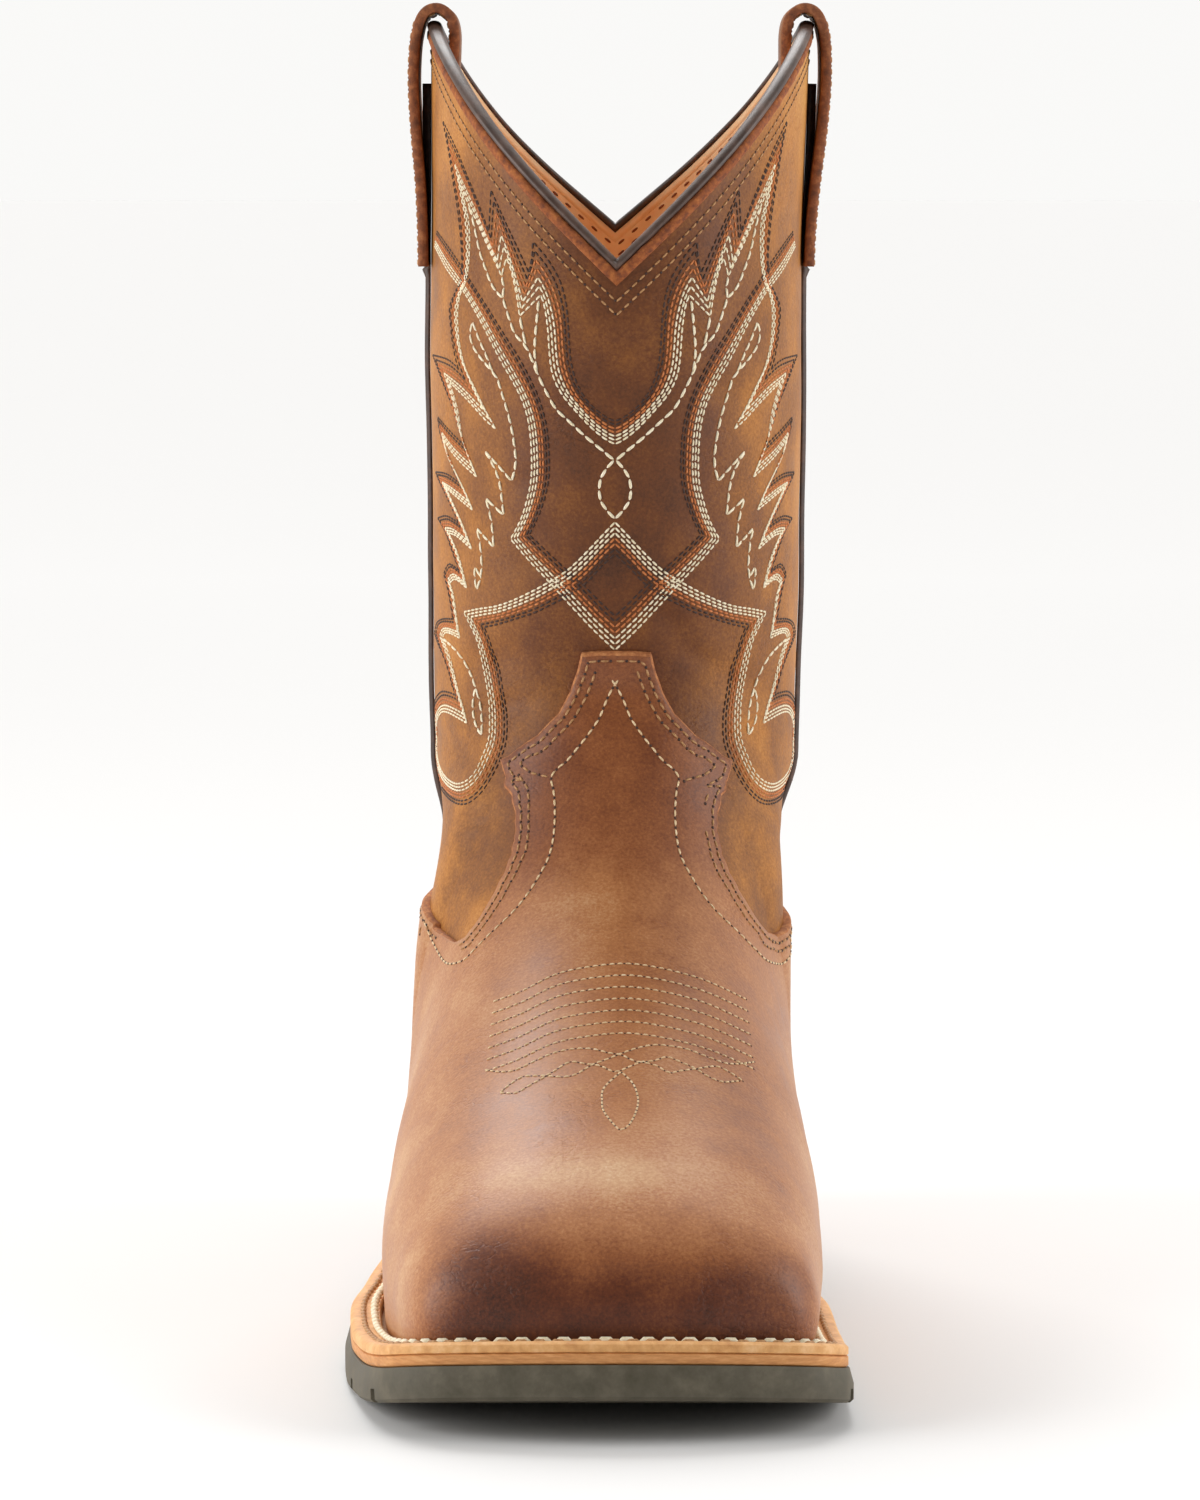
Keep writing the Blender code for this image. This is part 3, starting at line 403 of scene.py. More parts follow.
WING_BAND = (
    ((435, 246, 437, 231), (446, 267, 449, 248), (455, 280, 460, 264), (465, 293, 473, 285),
     (482, 323, 489, 310), (493, 345, 505, 336), (503, 364, 519, 358), (514, 383, 530, 379),
     (524, 404, 540, 402), (530, 429, 547, 430), (532, 461, 549, 462), (531, 483, 548, 483),
     (527, 501, 543, 503), (521, 520, 536, 521), (511, 539, 529, 535)),
    ((511, 539, 529, 535), (529, 560, 546, 551), (546, 578, 563, 567), (565, 599, 580, 582),
     (578, 613, 592, 594), (593, 629, 603, 605), (615, 650, 615, 616)),
)
SINGLE_LINES = (
    # from the centre crossing up to the long flame
    ((614, 460), (602, 450), (585, 436), (569, 421), (556, 409), (545, 389), (537, 372), (530, 354),
     (526, 345), (516, 336), (508, 314), (503, 298)),
    ((503, 298), (493, 287), (486, 269), (480, 252), (476, 233), (472, 215), (469, 205)),
    ((503, 298), (504, 287), (502, 276)),
    ((526, 345), (522, 327), (520, 316)),
    ((537, 372), (535, 356), (535, 344), (537, 320), (539, 300)),
    # half of the lens in the middle
    ((614, 460), (602, 475), (599, 490), (602, 504), (615, 519)),
    # the leaf and zigzag inside the wing
    ((473, 322), (470, 335), (473, 346), (481, 358), (494, 373), (498, 379)),
    ((473, 322), (480, 341), (486, 354), (493, 372)),
    ((498, 379), (503, 396), (508, 412), (512, 429), (515, 448), (516, 464), (512, 481)),
    ((512, 481), (497, 464), (485, 451)),
    ((485, 451), (494, 466), (500, 483), (503, 507), (504, 515)),
    ((504, 515), (494, 506), (486, 498)),
    ((486, 498), (489, 509), (492, 523), (494, 547)),
    ((494, 547), (484, 536), (477, 528)),
    ((477, 528), (480, 541), (482, 563), (481, 577), (477, 590)),
    ((477, 590), (475, 578), (475, 567), (481, 577)),
    # the line and lens inside the lower loop
    ((444, 639), (454, 648), (463, 659), (471, 674), (476, 688)),
    ((476, 688), (473, 701), (474, 718), (479, 732), (482, 735)),
    ((476, 688), (480, 702), (482, 717), (482, 735)),
)
VAMP_INNER_LINE = (
    (618, 680), (611, 691), (605, 704), (600, 717), (593, 728), (585, 739), (576, 750), (567, 761),
    (557, 769), (551, 778), (554, 793), (555, 816), (553, 841), (548, 859), (539, 876), (527, 895),
    (512, 913), (494, 930), (474, 950), (464, 960), (451, 964), (443, 960), (434, 944), (429, 933),
    (424, 920),
)
WRINKLE_TOP = (
    (493, 1002), (522, 991), (552, 976), (577, 969), (615, 964), (642, 965), (677, 972), (709, 982),
    (747, 1000),
)
WRINKLE_ROWS = 7
WRINKLE_DROP = 11.6
WRINKLE_SPREAD = 0.01
WRINKLE_MIDDLE = 621.0
WRINKLE_WAVES = (
    ((485, 1070), (501, 1072), (516, 1070), (537, 1060), (554, 1053), (573, 1049), (592, 1049),
     (608, 1053), (621, 1055), (634, 1061), (646, 1063), (657, 1066), (669, 1073), (680, 1071),
     (696, 1069), (709, 1067), (719, 1067), (732, 1074), (744, 1082)),
    ((500, 1093), (508, 1086), (522, 1077), (535, 1076), (546, 1076), (564, 1077), (577, 1074),
     (592, 1065), (608, 1059), (623, 1053), (638, 1048), (654, 1045), (669, 1046), (686, 1049),
     (705, 1056), (724, 1063), (738, 1064), (755, 1062)),
    ((500, 1093), (516, 1093), (527, 1087), (541, 1079), (556, 1070), (570, 1062), (585, 1064),
     (600, 1066), (615, 1072), (629, 1067), (642, 1062), (654, 1061), (667, 1057), (680, 1062),
     (696, 1069), (707, 1076), (722, 1082), (740, 1081)),
    ((621, 1072), (604, 1088), (602, 1101), (604, 1112), (615, 1126), (621, 1130), (629, 1125),
     (636, 1112), (638, 1099), (633, 1084), (621, 1072)),
)

# The leather's texture scales and its colours from dark to pale
WRINKLE_SCALE = 150.0
WRINKLED_AREA_SCALE = 38.0
LARGE_PATCH_SCALE = 24.0
SMALL_PATCH_SCALE = 95.0
GRAIN_SCALE = 1300.0
PORE_SCALE = 1150.0
FOLD_SCALE = 420.0
GRAIN_CONTRAST = 0.46
# Painted shade in the fine wrinkles
WRINKLE_PAINTED_SHADE = 0.035
SHAFT_STOPS = ((0.15, "41220e"), (0.38, "693a19"), (0.55, "885424"), (0.72, "af7233"), (0.95, "d09a58"))
VAMP_STOPS = ((0.05, "351708"), (0.25, "632f14"), (0.45, "8c5027"), (0.62, "ad7040"), (0.80, "c7996d"),
              (1.0, "dfc6ab"))
PLAIN_STOPS = (0.3, 0.5, 0.7)
THREAD = (1500.0, (0.55, 0.7), 0.3)

# Painted light and shade on the shaft: painted shade in the middle and painted light at the sides, painted
# light lifts between two heights, and the painted shade of the fold
SHAFT_PAINTED_SHADE_AND_LIGHT = (-0.12, 0.16)
SHAFT_TONE_POWER = 1.6
SHAFT_SIDE_PAINTED_LIGHT = ((0.07, 150.0, 100.0), (0.10, 240.0, 285.0))
SHAFT_FOLD_PAINTED_SHADE = (0.04, 165.0, 22.0)

# Tone of the vamp, most of it painted light and shade: each pair says where a change starts and where it is
# full
VAMP_TONE = 0.06
# Painted shade on the toe's front face, which faces down and forward
TOE_PAINTED_SHADE = 0.31
TOE_WANDER = (0.05, 5.0)
TOE_FROM = (258.0, 286.0)
TOE_BELOW = (48.0, 33.0)
TOE_LEAN = (0.06, 40.0)
TOE_LATERAL = (-48.0, -32.0)
TOE_MEDIAL = (47.0, 40.0)
# Painted light on the vamp's lower sides
VAMP_SIDE_PAINTED_LIGHT = 0.10
VAMP_SIDE_FROM = (28.0, 48.0)
VAMP_SIDE_BELOW = (140.0, 90.0)
TONGUE_TONE = 0.17
TONGUE_ABOVE = (96.0, 122.0)
COUNTER_TONE = 0.02
# Spots of painted light and shade: painted shadow at the toe's foot, painted highlights on the two toe
# corners, the toe's top and the instep, then a darker patch beside the instep highlight
VAMP_LIGHT_AND_SHADE_SPOTS = (
    # tone, x, s, z, width, length, height
    (-0.10, -10.0, 297.0, 25.0, 26.0, 20.0, 8.0),
    (0.07, -44.0, 284.0, 32.0, 8.0, 18.0, 18.0),
    (0.14, 43.0, 286.0, 28.0, 6.0, 18.0, 18.0),
    (0.24, -8.0, 271.0, 51.0, 30.0, 11.0, 8.0),
    (0.09, -6.0, 176.0, 98.0, 7.0, 30.0, 16.0),
    (-0.06, 14.0, 168.0, 104.0, 9.0, 20.0, 12.0),
)

# Floor, lamps and studio; the floor is painted lighter further back, as painted light where the lamps'
# light falls off
FLOOR_REACH = 40.0
FLOOR_NEAR = 0.4
FLOOR_FAR = 2.5
FLOOR_PAINTED_LIGHT_STOPS = ((0.0, "e5e4e3"), (1.0, "f2f1f0"))
SUN_ENERGY = 2.0
SUN_SPREAD = 36.0
SUN_TURN = (-42.0, -6.0)
LAMP_AIM = 0.12
WORLD_GRADIENT = (("From Min", -0.7), ("From Max", 0.8), ("To Min", 0.17), ("To Max", 0.955))
LAMPS = (
    # name, place in metres, power, size
    ("left", (-1.3, -0.35, 0.6), 15.0, 1.0),
    ("right", (1.3, -0.25, 0.6), 12.0, 1.0),
)

# The photograph's camera: focal length in its own pixels, height, distance before the toe, tilt down
PHOTO_WIDTH = 1200.0
PHOTO_HEIGHT = 1500.0
FOCAL_PIXELS = 6222.0
CAMERA_HEIGHT = 276.0
CAMERA_BEFORE_TOE = 1303.0
CAMERA_TILT = 5.57
CAMERA_X = -3.9
SENSOR = 36.0

# The frame's place of the boot's own zero
FRAME_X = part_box("upper")[1].x / MM - SHAFT_HALF_WIDTH * SHAFT_SECTIONS[0][5]
FRAME_Y = 0.5 * (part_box("strap_medial")[0].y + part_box("strap_medial")[1].y) / MM + SEAM_S


def world(p):
    return Vector(((p.x + FRAME_X) * MM, (FRAME_Y - p.y) * MM, p.z * MM))


def smooth(points):
    """A curve through the points that never overshoots them."""
    xs = [p[0] for p in points]
    ys = [p[1] for p in points]
    count = len(xs)
    step = [xs[i + 1] - xs[i] for i in range(count - 1)]
    rise = [(ys[i + 1] - ys[i]) / step[i] for i in range(count - 1)]
    slope = [rise[0]] + [0.0] * (count - 2) + [rise[-1]]
    for i in range(1, count - 1):
        if rise[i - 1] * rise[i] > 0.0:
            before = 2.0 * step[i] + step[i - 1]
            after = step[i] + 2.0 * step[i - 1]
            slope[i] = (before + after) / (before / rise[i - 1] + after / rise[i])

    def value(x):
        if x <= xs[0]:
            return ys[0]
        if x >= xs[-1]:
            return ys[-1]
        i = bisect_right(xs, x) - 1
        t = (x - xs[i]) / step[i]
        bend = (1.0 - t) ** 2
        return (ys[i] * (1.0 + 2.0 * t) * bend + step[i] * slope[i] * t * bend
                + ys[i + 1] * t * t * (3.0 - 2.0 * t) + step[i] * slope[i + 1] * t * t * (t - 1.0))

    return value


def column_curve(table, column, scale=None):
    return smooth([(i if scale is None else row[0] * scale, row[column]) for i, row in enumerate(table)])


def ease(low, high, x):
    t = min(max((x - low) / (high - low), 0.0), 1.0)
    return t * t * (3.0 - 2.0 * t)


def blend(a, b, t):
    return a + (b - a) * t


heel_share = column_curve(SOLE_PROFILE, 1, SOLE_LENGTH)
spring_share = column_curve(SOLE_PROFILE, 2, SOLE_LENGTH)
outsole_share = column_curve(SOLE_PROFILE, 3, SOLE_LENGTH)


def tread_z(s):
    return HEEL_HEIGHT * heel_share(s) + TOE_SPRING * spring_share(s)


def outsole_z(s):
    return tread_z(s) + OUTSOLE_WALL * outsole_share(s)


def midsole_z(s):
    return outsole_z(s) + GAP + MIDSOLE_WALL


def feather_z(s):
    return midsole_z(s) + UPPER_LIFT


def plan_curve(column):
    curve = smooth([(math.sqrt(row[0]), row[column]) for row in LAST_PLAN])
    return lambda s: curve(math.sqrt(max(LAST_LENGTH - s, 0.0)))


feather_width = {LATERAL: plan_curve(1), MEDIAL: plan_curve(2)}
swell = {LATERAL: plan_curve(3), MEDIAL: plan_curve(4)}


def section_ends():
    ends = []
    for front, back, front_height, back_height, _, _ in SHAFT_SECTIONS:
        ends.append((front * SHAFT_DEPTH, front_height * SHAFT_TOP,
                     back * SHAFT_DEPTH, back_height * SHAFT_TOP))
    for front, front_rise, back, back_rise, _, _, _ in FOOT_SECTIONS:
        reach = front * LAST_LENGTH
        ends.append((reach, feather_z(reach) + front_rise * INSTEP_RISE,
                     back, feather_z(back) + back_rise * HEEL_RISE))
    return ends


ENDS = section_ends()
front_s = column_curve(ENDS, 0)
front_z = column_curve(ENDS, 1)
back_s = column_curve(ENDS, 2)
back_z = column_curve(ENDS, 3)
HALF_WIDTHS = [row[4:6] for row in SHAFT_SECTIONS + FOOT_SECTIONS]
shaft_width = {LATERAL: column_curve(HALF_WIDTHS, 0), MEDIAL: column_curve(HALF_WIDTHS, 1)}
foot_share = smooth([(0.0, 0.0), (FOOT_START - 1.0, 0.0)]
                    + [(FOOT_START + i, row[6]) for i, row in enumerate(FOOT_SECTIONS)])
roundness = smooth(ROUNDNESS)
RIDGE_COUNT = round((FEATHER - THROAT) / RIDGE_STEP) + 1
RIDGE = [(front_s(THROAT + RIDGE_STEP * i), front_z(THROAT + RIDGE_STEP * i)) for i in range(RIDGE_COUNT)]
RIDGE_S = [p[0] for p in RIDGE]


def ridge_z(s):
    if s <= RIDGE_S[0]:
        return RIDGE[0][1] + (RIDGE_S[0] - s) * RIDGE_SLOPE_ABOVE_THROAT
    if s >= RIDGE_S[-1]:
        return RIDGE[-1][1]
    i = bisect_right(RIDGE_S, s) - 1
    t = (s - RIDGE_S[i]) / max(RIDGE_S[i + 1] - RIDGE_S[i], 1e-9)
    return blend(RIDGE[i][1], RIDGE[i + 1][1], t)


def foot_x(side, s, z, heel_s):
    rise = (z - feather_z(s)) / max(ridge_z(s) - feather_z(s), 1e-6)
    rise = min(max(rise, 0.0), 1.0)
    body = feather_width[side](s) + swell[side](s) * ease(0.0, SWELL_RISE, rise)
    crown = math.sqrt(max(1.0 - rise ** roundness(s), 0.0))
    near = min(max((s - heel_s) / HEEL_ROUND_REACH, 0.0), 1.0)
    heel = (1.0 - (1.0 - near) ** HEEL_ROUNDNESS) ** (1.0 / HEEL_ROUNDNESS)
    return body * crown * heel


def section_point(v, side, t, share):
    """Point of section v: t runs 0 at the heel, 1 at the side seam, 2 at the front."""
    s_back, s_front, z_back, z_front = back_s(v), front_s(v), back_z(v), front_z(v)
    if t <= 1.0:
        s = s_back + (SEAM_S - s_back) * (1.0 - math.cos(0.5 * math.pi * t))
    else:
        s = SEAM_S + (s_front - SEAM_S) * math.sin(0.5 * math.pi * (t - 1.0))
    along = (s - s_back) / (s_front - s_back)
    z = blend(z_back, z_front, along)
    follow = (max(v - FOOT_START, 0.0) / (FEATHER - FOOT_START)) ** FOLLOW_POWER
    if follow > 0.0:
        z += follow * (feather_z(s) - blend(feather_z(s_back), feather_z(s_front), along))
    if v < 1.0:
        rise = SHAFT_TOP * (1.0 - v) + blend(back_z(1.0), front_z(1.0), along) * v - z
        z += rise * math.sin(0.5 * math.pi * share)
    if t <= 0.0 or t >= 2.0:
        return Vector((0.0, s, z))
    weight = foot_share(v)
    x = 0.0
    if weight > 0.0:
        x += weight * foot_x(side, s, z, s_back)
    if weight < 1.0:
        out = min(abs(s - 0.5 * (s_front + s_back)) / (0.5 * (s_front - s_back)), 1.0)
        half = SHAFT_HALF_WIDTH * shaft_width[side](v)
        x += (1.0 - weight) * half * (1.0 - out ** SHAFT_ROUNDNESS) ** (1.0 / SHAFT_ROUNDNESS)
    return Vector((side * x, s, z))


def section_columns(v, side):
    """Parameter and length share of each column on one side, from the heel to the front."""
    columns = []
    for low, count, samples in ((0.0, BACK_COLUMNS, BACK_SAMPLES), (1.0, FRONT_COLUMNS, FRONT_SAMPLES)):
        flat = [section_point(v, side, low + i / samples, 0.0) for i in range(samples + 1)]
        total = [0.0]
        arc = [0.0]
        heading = None
        for a, b in zip(flat, flat[1:]):
            dx = b.x - a.x
            ds = b.y - a.y
            angle = math.atan2(dx * side, ds)
            turn = 0.0 if heading is None else abs(angle - heading)
            heading = angle
            arc.append(arc[-1] + math.hypot(dx, ds))
            total.append(total[-1] + math.hypot(dx, ds) + TURN_WEIGHT * turn)
        for j in range(count + 1):
            if low > 0.0 and j == 0:
                continue
            target = total[-1] * j / count
            i = min(bisect_right(total, target) - 1, samples - 1)
            t = (target - total[i]) / max(total[i + 1] - total[i], 1e-9)
            share = blend(arc[i], arc[i + 1], t) / arc[-1]
            columns.append((low + (i + t) / samples, share if low == 0.0 else 1.0 - share))
    return columns


def fine_rows():
    """Sections close enough together for a smooth surface."""
    rows = [0.0]
    for v in range(int(FEATHER)):
        drop = max(math.dist((front_s(v), front_z(v)), (front_s(v + 1), front_z(v + 1))),
                   math.dist((back_s(v), back_z(v)), (back_s(v + 1), back_z(v + 1))))
        if v == 0:
            drop = SHAFT_TOP - front_z(1.0)
        count = max(3, round(drop / ROW_STEP))
        rows += [v + (i + 1) / count for i in range(count)]
    return rows


ROWS = fine_rows()
LAST_ROW = len(ROWS) - 1


def crease(p):
    """How far the leather stands in or out at a point of the surface."""
    table = CREASES if p.y > SEAM_S else BACK_CREASES
    depth = 0.0
    for x, z, turn, length, width, deep in table:
        dx = p.x - x
        dz = p.z - z
        if abs(dx) > CREASE_REACH[0] or abs(dz) > CREASE_REACH[1]:
            continue
        c = math.cos(math.radians(turn))
        s = math.sin(math.radians(turn))
        along = (dx * c + dz * s) / (0.5 * length)
        across = (dz * c - dx * s) / width
        if abs(along) < 1.0:
            shoulder = CREASE_SHOULDER * math.exp(-(across - CREASE_SHOULDER_AT) ** 2)
            depth -= deep * (1.0 - along * along) ** 2 * (math.exp(-across * across) - shoulder)
    soft = sum(noise.noise(p * scale) * height for scale, height in SOFT_WAVES)
    return depth + soft * ease(SHAFT_TOP - 4.0, SHAFT_TOP - 40.0, p.z)


def fine_grid():
    rows = []
    for v in ROWS:
        medial = [section_point(v, MEDIAL, t, share) for t, share in section_columns(v, MEDIAL)]
        lateral = [section_point(v, LATERAL, t, share) for t, share in section_columns(v, LATERAL)]
        rows.append(medial[::-1] + lateral[1:-1])
    return rows


GRID = fine_grid()


def grid_normals():
    normals = []
    for r in range(LAST_ROW + 1):
        row = []
        for c in range(AROUND):
            across = GRID[r][(c + 1) % AROUND] - GRID[r][c - 1]
            down = GRID[min(r + 1, LAST_ROW)][c] - GRID[max(r - 1, 0)][c]
            row.append(across.cross(down).normalized())
        normals.append(row)
    if normals[LAST_ROW // 2][0].y < 0.0:
        normals = [[-n for n in row] for row in normals]
    return normals


NORMALS = grid_normals()
RELIEF = [[crease(p) for p in row] for row in GRID]


def knot(c, r, out):
    return GRID[r][c % AROUND] + NORMALS[r][c % AROUND] * (out + RELIEF[r][c % AROUND])


def normal_at(c, r):
    return NORMALS[min(max(round(r), 0), LAST_ROW)][round(c) % AROUND]


def skin(c, r, out):
    """A point of the surface at fractional grid coordinates, moved outward."""
    i = math.floor(c)
    j = min(max(math.floor(r), 0), LAST_ROW - 1)
    x = c - i
    y = r - j
    top = knot(i, j, out).lerp(knot(i + 1, j, out), x)
    low = knot(i, j + 1, out).lerp(knot(i + 1, j + 1, out), x)
    return top.lerp(low, y)


def surface_tree(out):
    points = [knot(c, r, out) for r in range(LAST_ROW + 1) for c in range(AROUND)]
    faces = []
    for r in range(LAST_ROW):
        for c in range(AROUND):
            a = r * AROUND + c
            b = r * AROUND + (c + 1) % AROUND
            faces.append((a, b, b + AROUND))
            faces.append((a, b + AROUND, a + AROUND))
    return BVHTree.FromPolygons(points, faces)


SHAFT_TREE = surface_tree(0.0)
VAMP_TREE = surface_tree(OVERLAY_TOP)


def grid_place(hit, index, out):
    """Grid coordinates of a point on a triangle of the surface tree."""
    cell = index // 2
    r = cell // AROUND
    c = cell % AROUND
    a, b, d = knot(c, r, out), knot(c + 1, r, out), knot(c, r + 1, out)
    across = b - a
    down = d - a
    rel = hit - a
    aa, bb, ab = across.dot(across), down.dot(down), across.dot(down)
    det = max(aa * bb - ab * ab, 1e-9)
    x = (rel.dot(across) * bb - rel.dot(down) * ab) / det
    y = (rel.dot(down) * aa - rel.dot(across) * ab) / det
    return c + min(max(x, 0.0), 1.0), r + min(max(y, 0.0), 1.0)


def from_front(x, z):
    """Grid coordinates of the surface seen at x, z from straight ahead."""
    hit, _, index, _ = SHAFT_TREE.ray_cast(Vector((x, 600.0, z)), Vector((0.0, -1.0, 0.0)))
    c, r = grid_place(hit, index, 0.0)
    return (c - AROUND if c > COLUMNS else c), r


def row_at_height(c, z):
    for r in range(LAST_ROW):
        top = GRID[r][round(c) % AROUND].z
        low = GRID[r + 1][round(c) % AROUND].z
        if low <= z <= top:
            return r + (top - z) / (top - low)
    return float(LAST_ROW)


def new_piece(name, points, faces, materials, indices=None, tone=None):
    """A mesh piece in the frame, riding on the boot."""
    mesh = bpy.data.meshes.new(name)
    mesh.from_pydata([world(p) for p in points], [], faces)
    for material in materials:
        mesh.materials.append(material)
    for i, polygon in enumerate(mesh.polygons):
        polygon.use_smooth = True
        if indices is not None:
            polygon.material_index = indices[i]
    if tone is not None:
        layer = mesh.attributes.new("tone", "FLOAT", "POINT")
        layer.data.foreach_set("value", tone)
    obj = bpy.data.objects.new(name, mesh)
    bpy.context.scene.collection.objects.link(obj)
    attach(obj, "root")
    return obj


def srgb(text):
    """Linear colour of a six-digit screen colour."""
    values = [int(text[i:i + 2], 16) / 255.0 for i in (0, 2, 4)]
    return [v / 12.92 if v <= 0.04045 else ((v + 0.055) / 1.055) ** 2.4 for v in values] + [1.0]


class Shader:
    """Short calls for building a material's nodes."""

    def __init__(self, name):
        self.material = bpy.data.materials.new(name)
        self.material.use_nodes = True
        self.nodes = self.material.node_tree.nodes
        self.links = self.material.node_tree.links
        self.surface = self.nodes["Principled BSDF"]
        coordinates = self.nodes.new("ShaderNodeTexCoord")
        self.place = coordinates.outputs["Object"]

    def link(self, source, target):
        self.links.new(source, target)

    def noise(self, scale, detail, rough, stretch=None):
        node = self.nodes.new("ShaderNodeTexNoise")
        node.inputs["Scale"].default_value = scale
        node.inputs["Detail"].default_value = detail
        node.inputs["Roughness"].default_value = rough
        source = self.place
        if stretch:
            mapping = self.nodes.new("ShaderNodeMapping")
            mapping.inputs["Scale"].default_value = stretch
            self.link(source, mapping.inputs["Vector"])
            source = mapping.outputs["Vector"]
        self.link(source, node.inputs["Vector"])
        return node.outputs["Fac"]

    def cells(self, scale):
        node = self.nodes.new("ShaderNodeTexVoronoi")
        node.inputs["Scale"].default_value = scale
        self.link(self.place, node.inputs["Vector"])
        return node.outputs["Distance"]

    def math(self, operation, a, b=None, c=None):
        node = self.nodes.new("ShaderNodeMath")
        node.operation = operation
        for socket, value in zip(node.inputs, (a, b, c)):
            if value is None:
                continue
            if isinstance(value, (int, float)):
                socket.default_value = value
            else:
                self.link(value, socket)
        return node.outputs[0]

    def attribute(self, name):
        node = self.nodes.new("ShaderNodeAttribute")
        node.attribute_name = name
        return node.outputs["Fac"]

    def ramp(self, factor, stops):
        node = self.nodes.new("ShaderNodeValToRGB")
        band = node.color_ramp
        while len(band.elements) < len(stops):
            band.elements.new(0.5)
        for element, (place, colour) in zip(band.elements, stops):
            element.position = place
            element.color = srgb(colour)
        self.link(factor, node.inputs["Fac"])
        return node.outputs["Color"]

    def spread(self, factor, low, high, to_low, to_high):
        node = self.nodes.new("ShaderNodeMapRange")
        for key, value in (("From Min", low), ("From Max", high), ("To Min", to_low), ("To Max", to_high)):
            node.inputs[key].default_value = value
        self.link(factor, node.inputs["Value"])
        return node.outputs["Result"]

    def bump(self, height, strength, distance, after=None):
        node = self.nodes.new("ShaderNodeBump")
        node.inputs["Strength"].default_value = strength
        node.inputs["Distance"].default_value = distance
        self.link(height, node.inputs["Height"])
        if after:
            self.link(after, node.inputs["Normal"])
        return node.outputs["Normal"]


def leather(name, stops, rough, coat, grain=0.25, patch=1.0):
    """Oiled leather: colour patches, a tone on the mesh that carries painted light and shade, fine wrinkles
    with painted shade in them, and grain.
    """
    s = Shader(name)
    away = s.math("ABSOLUTE", s.math("SUBTRACT", s.noise(WRINKLE_SCALE, 3.0, 0.6, (1.0, 1.0, 1.5)), 0.5))
    lines = s.spread(away, 0.0, 0.035, 1.0, 0.0)
    where = s.spread(s.noise(WRINKLED_AREA_SCALE, 2.0, 0.5), 0.5, 0.62, 0.0, 1.0)
    wrinkles = s.math("MULTIPLY", lines, where)
    large = s.noise(LARGE_PATCH_SCALE, 5.0, 0.6)
    middle = s.noise(SMALL_PATCH_SCALE, 7.0, 0.65)
    fine = s.noise(GRAIN_SCALE, 3.0, 0.75)
    mixed = s.math("MULTIPLY_ADD", large, 0.55 * patch, s.math("MULTIPLY", middle, 0.33 * patch))
    mixed = s.math("MULTIPLY_ADD", fine, GRAIN_CONTRAST, mixed)
    # Painted shade darkens the fine wrinkles.
    mixed = s.math("MULTIPLY_ADD", wrinkles, -WRINKLE_PAINTED_SHADE, mixed)
    mixed = s.math("ADD", mixed, 0.5 - 0.44 * patch - 0.5 * GRAIN_CONTRAST)
    # The tone on the mesh adds its painted light and shade.
    mixed = s.math("ADD", mixed, s.attribute("tone"))
    s.link(s.ramp(mixed, stops), s.surface.inputs["Base Color"])
    s.link(s.spread(middle, 0.3, 0.7, rough[0], rough[1]), s.surface.inputs["Roughness"])
    pores = s.cells(PORE_SCALE)
    normal = s.bump(pores, grain, 0.0002)
    normal = s.bump(s.noise(FOLD_SCALE, 6.0, 0.6), grain * 0.9, 0.0004, normal)
    normal = s.bump(s.math("MULTIPLY", wrinkles, -1.0), grain, 0.0006, normal)
    s.link(normal, s.surface.inputs["Normal"])
    s.surface.inputs["Coat Weight"].default_value = coat
    s.surface.inputs["Coat Roughness"].default_value = 0.42
    s.surface.inputs["Specular IOR Level"].default_value = 0.3
    return s.material


def plain(name, colours, scale, rough, bump, coat=0.0, stretch=None):
    """A material with one scale of colour change and a bump to match."""
    s = Shader(name)
    field = s.noise(scale, 6.0, 0.65, stretch)
    s.link(s.ramp(field, tuple(zip(PLAIN_STOPS, colours))), s.surface.inputs["Base Color"])
    s.link(s.spread(field, 0.3, 0.7, rough[0], rough[1]), s.surface.inputs["Roughness"])
    s.link(s.bump(field, bump, 0.0002), s.surface.inputs["Normal"])
    s.surface.inputs["Coat Weight"].default_value = coat
    s.surface.inputs["Coat Roughness"].default_value = 0.3
    return s.material


SHAFT_LEATHER = leather("shaft_leather", SHAFT_STOPS, (0.5, 0.68), 0.04)
VAMP_LEATHER = leather("vamp_leather", VAMP_STOPS, (0.42, 0.58), 0.32, 0.22, 0.7)
LINING = plain("lining_leather", ("fbc08a", "ffcf9c", "ffdcb2"), 160.0, (0.6, 0.8), 0.25)
STRAP_EDGE = plain("strap_edge", ("57301a", "804828", "a86c42"), 500.0, (0.75, 0.9), 0.6)
# The cut edge's own lighter colour, also a painted highlight along the overlays' rounded rims
CUT_EDGE_AND_HIGHLIGHT = plain("cut_edge_and_painted_highlight", ("7d4722", "a9683a", "c98a54"), 700.0, (0.7, 0.85), 0.4)
RAW_EDGE = plain("raw_edge", ("5a2a12", "8c4a20", "b06a34"), 700.0, (0.75, 0.9), 0.5)
BINDING = plain("binding_leather", ("35261e", "4a362c", "624a3e"), 220.0, (0.4, 0.52), 0.15, 0.1)
PIPING = plain("piping_leather", ("2c1c14", "412b1f", "5a4032"), 300.0, (0.4, 0.55), 0.2)
CREAM = plain("cream_thread", ("d9c89e", "efe3c4", "faf3df"), *THREAD)
RUST = plain("rust_thread", ("a5582a", "c27138", "d88c50"), *THREAD)
DARK = plain("dark_thread", ("27150c", "3a2114", "50301f"), *THREAD)
TAN_THREAD = plain("tan_thread", ("94663a", "b08252", "cba073"), *THREAD)
PALE_THREAD = plain("pale_thread", ("c9a677", "e2c69a", "f2e0c0"), *THREAD)
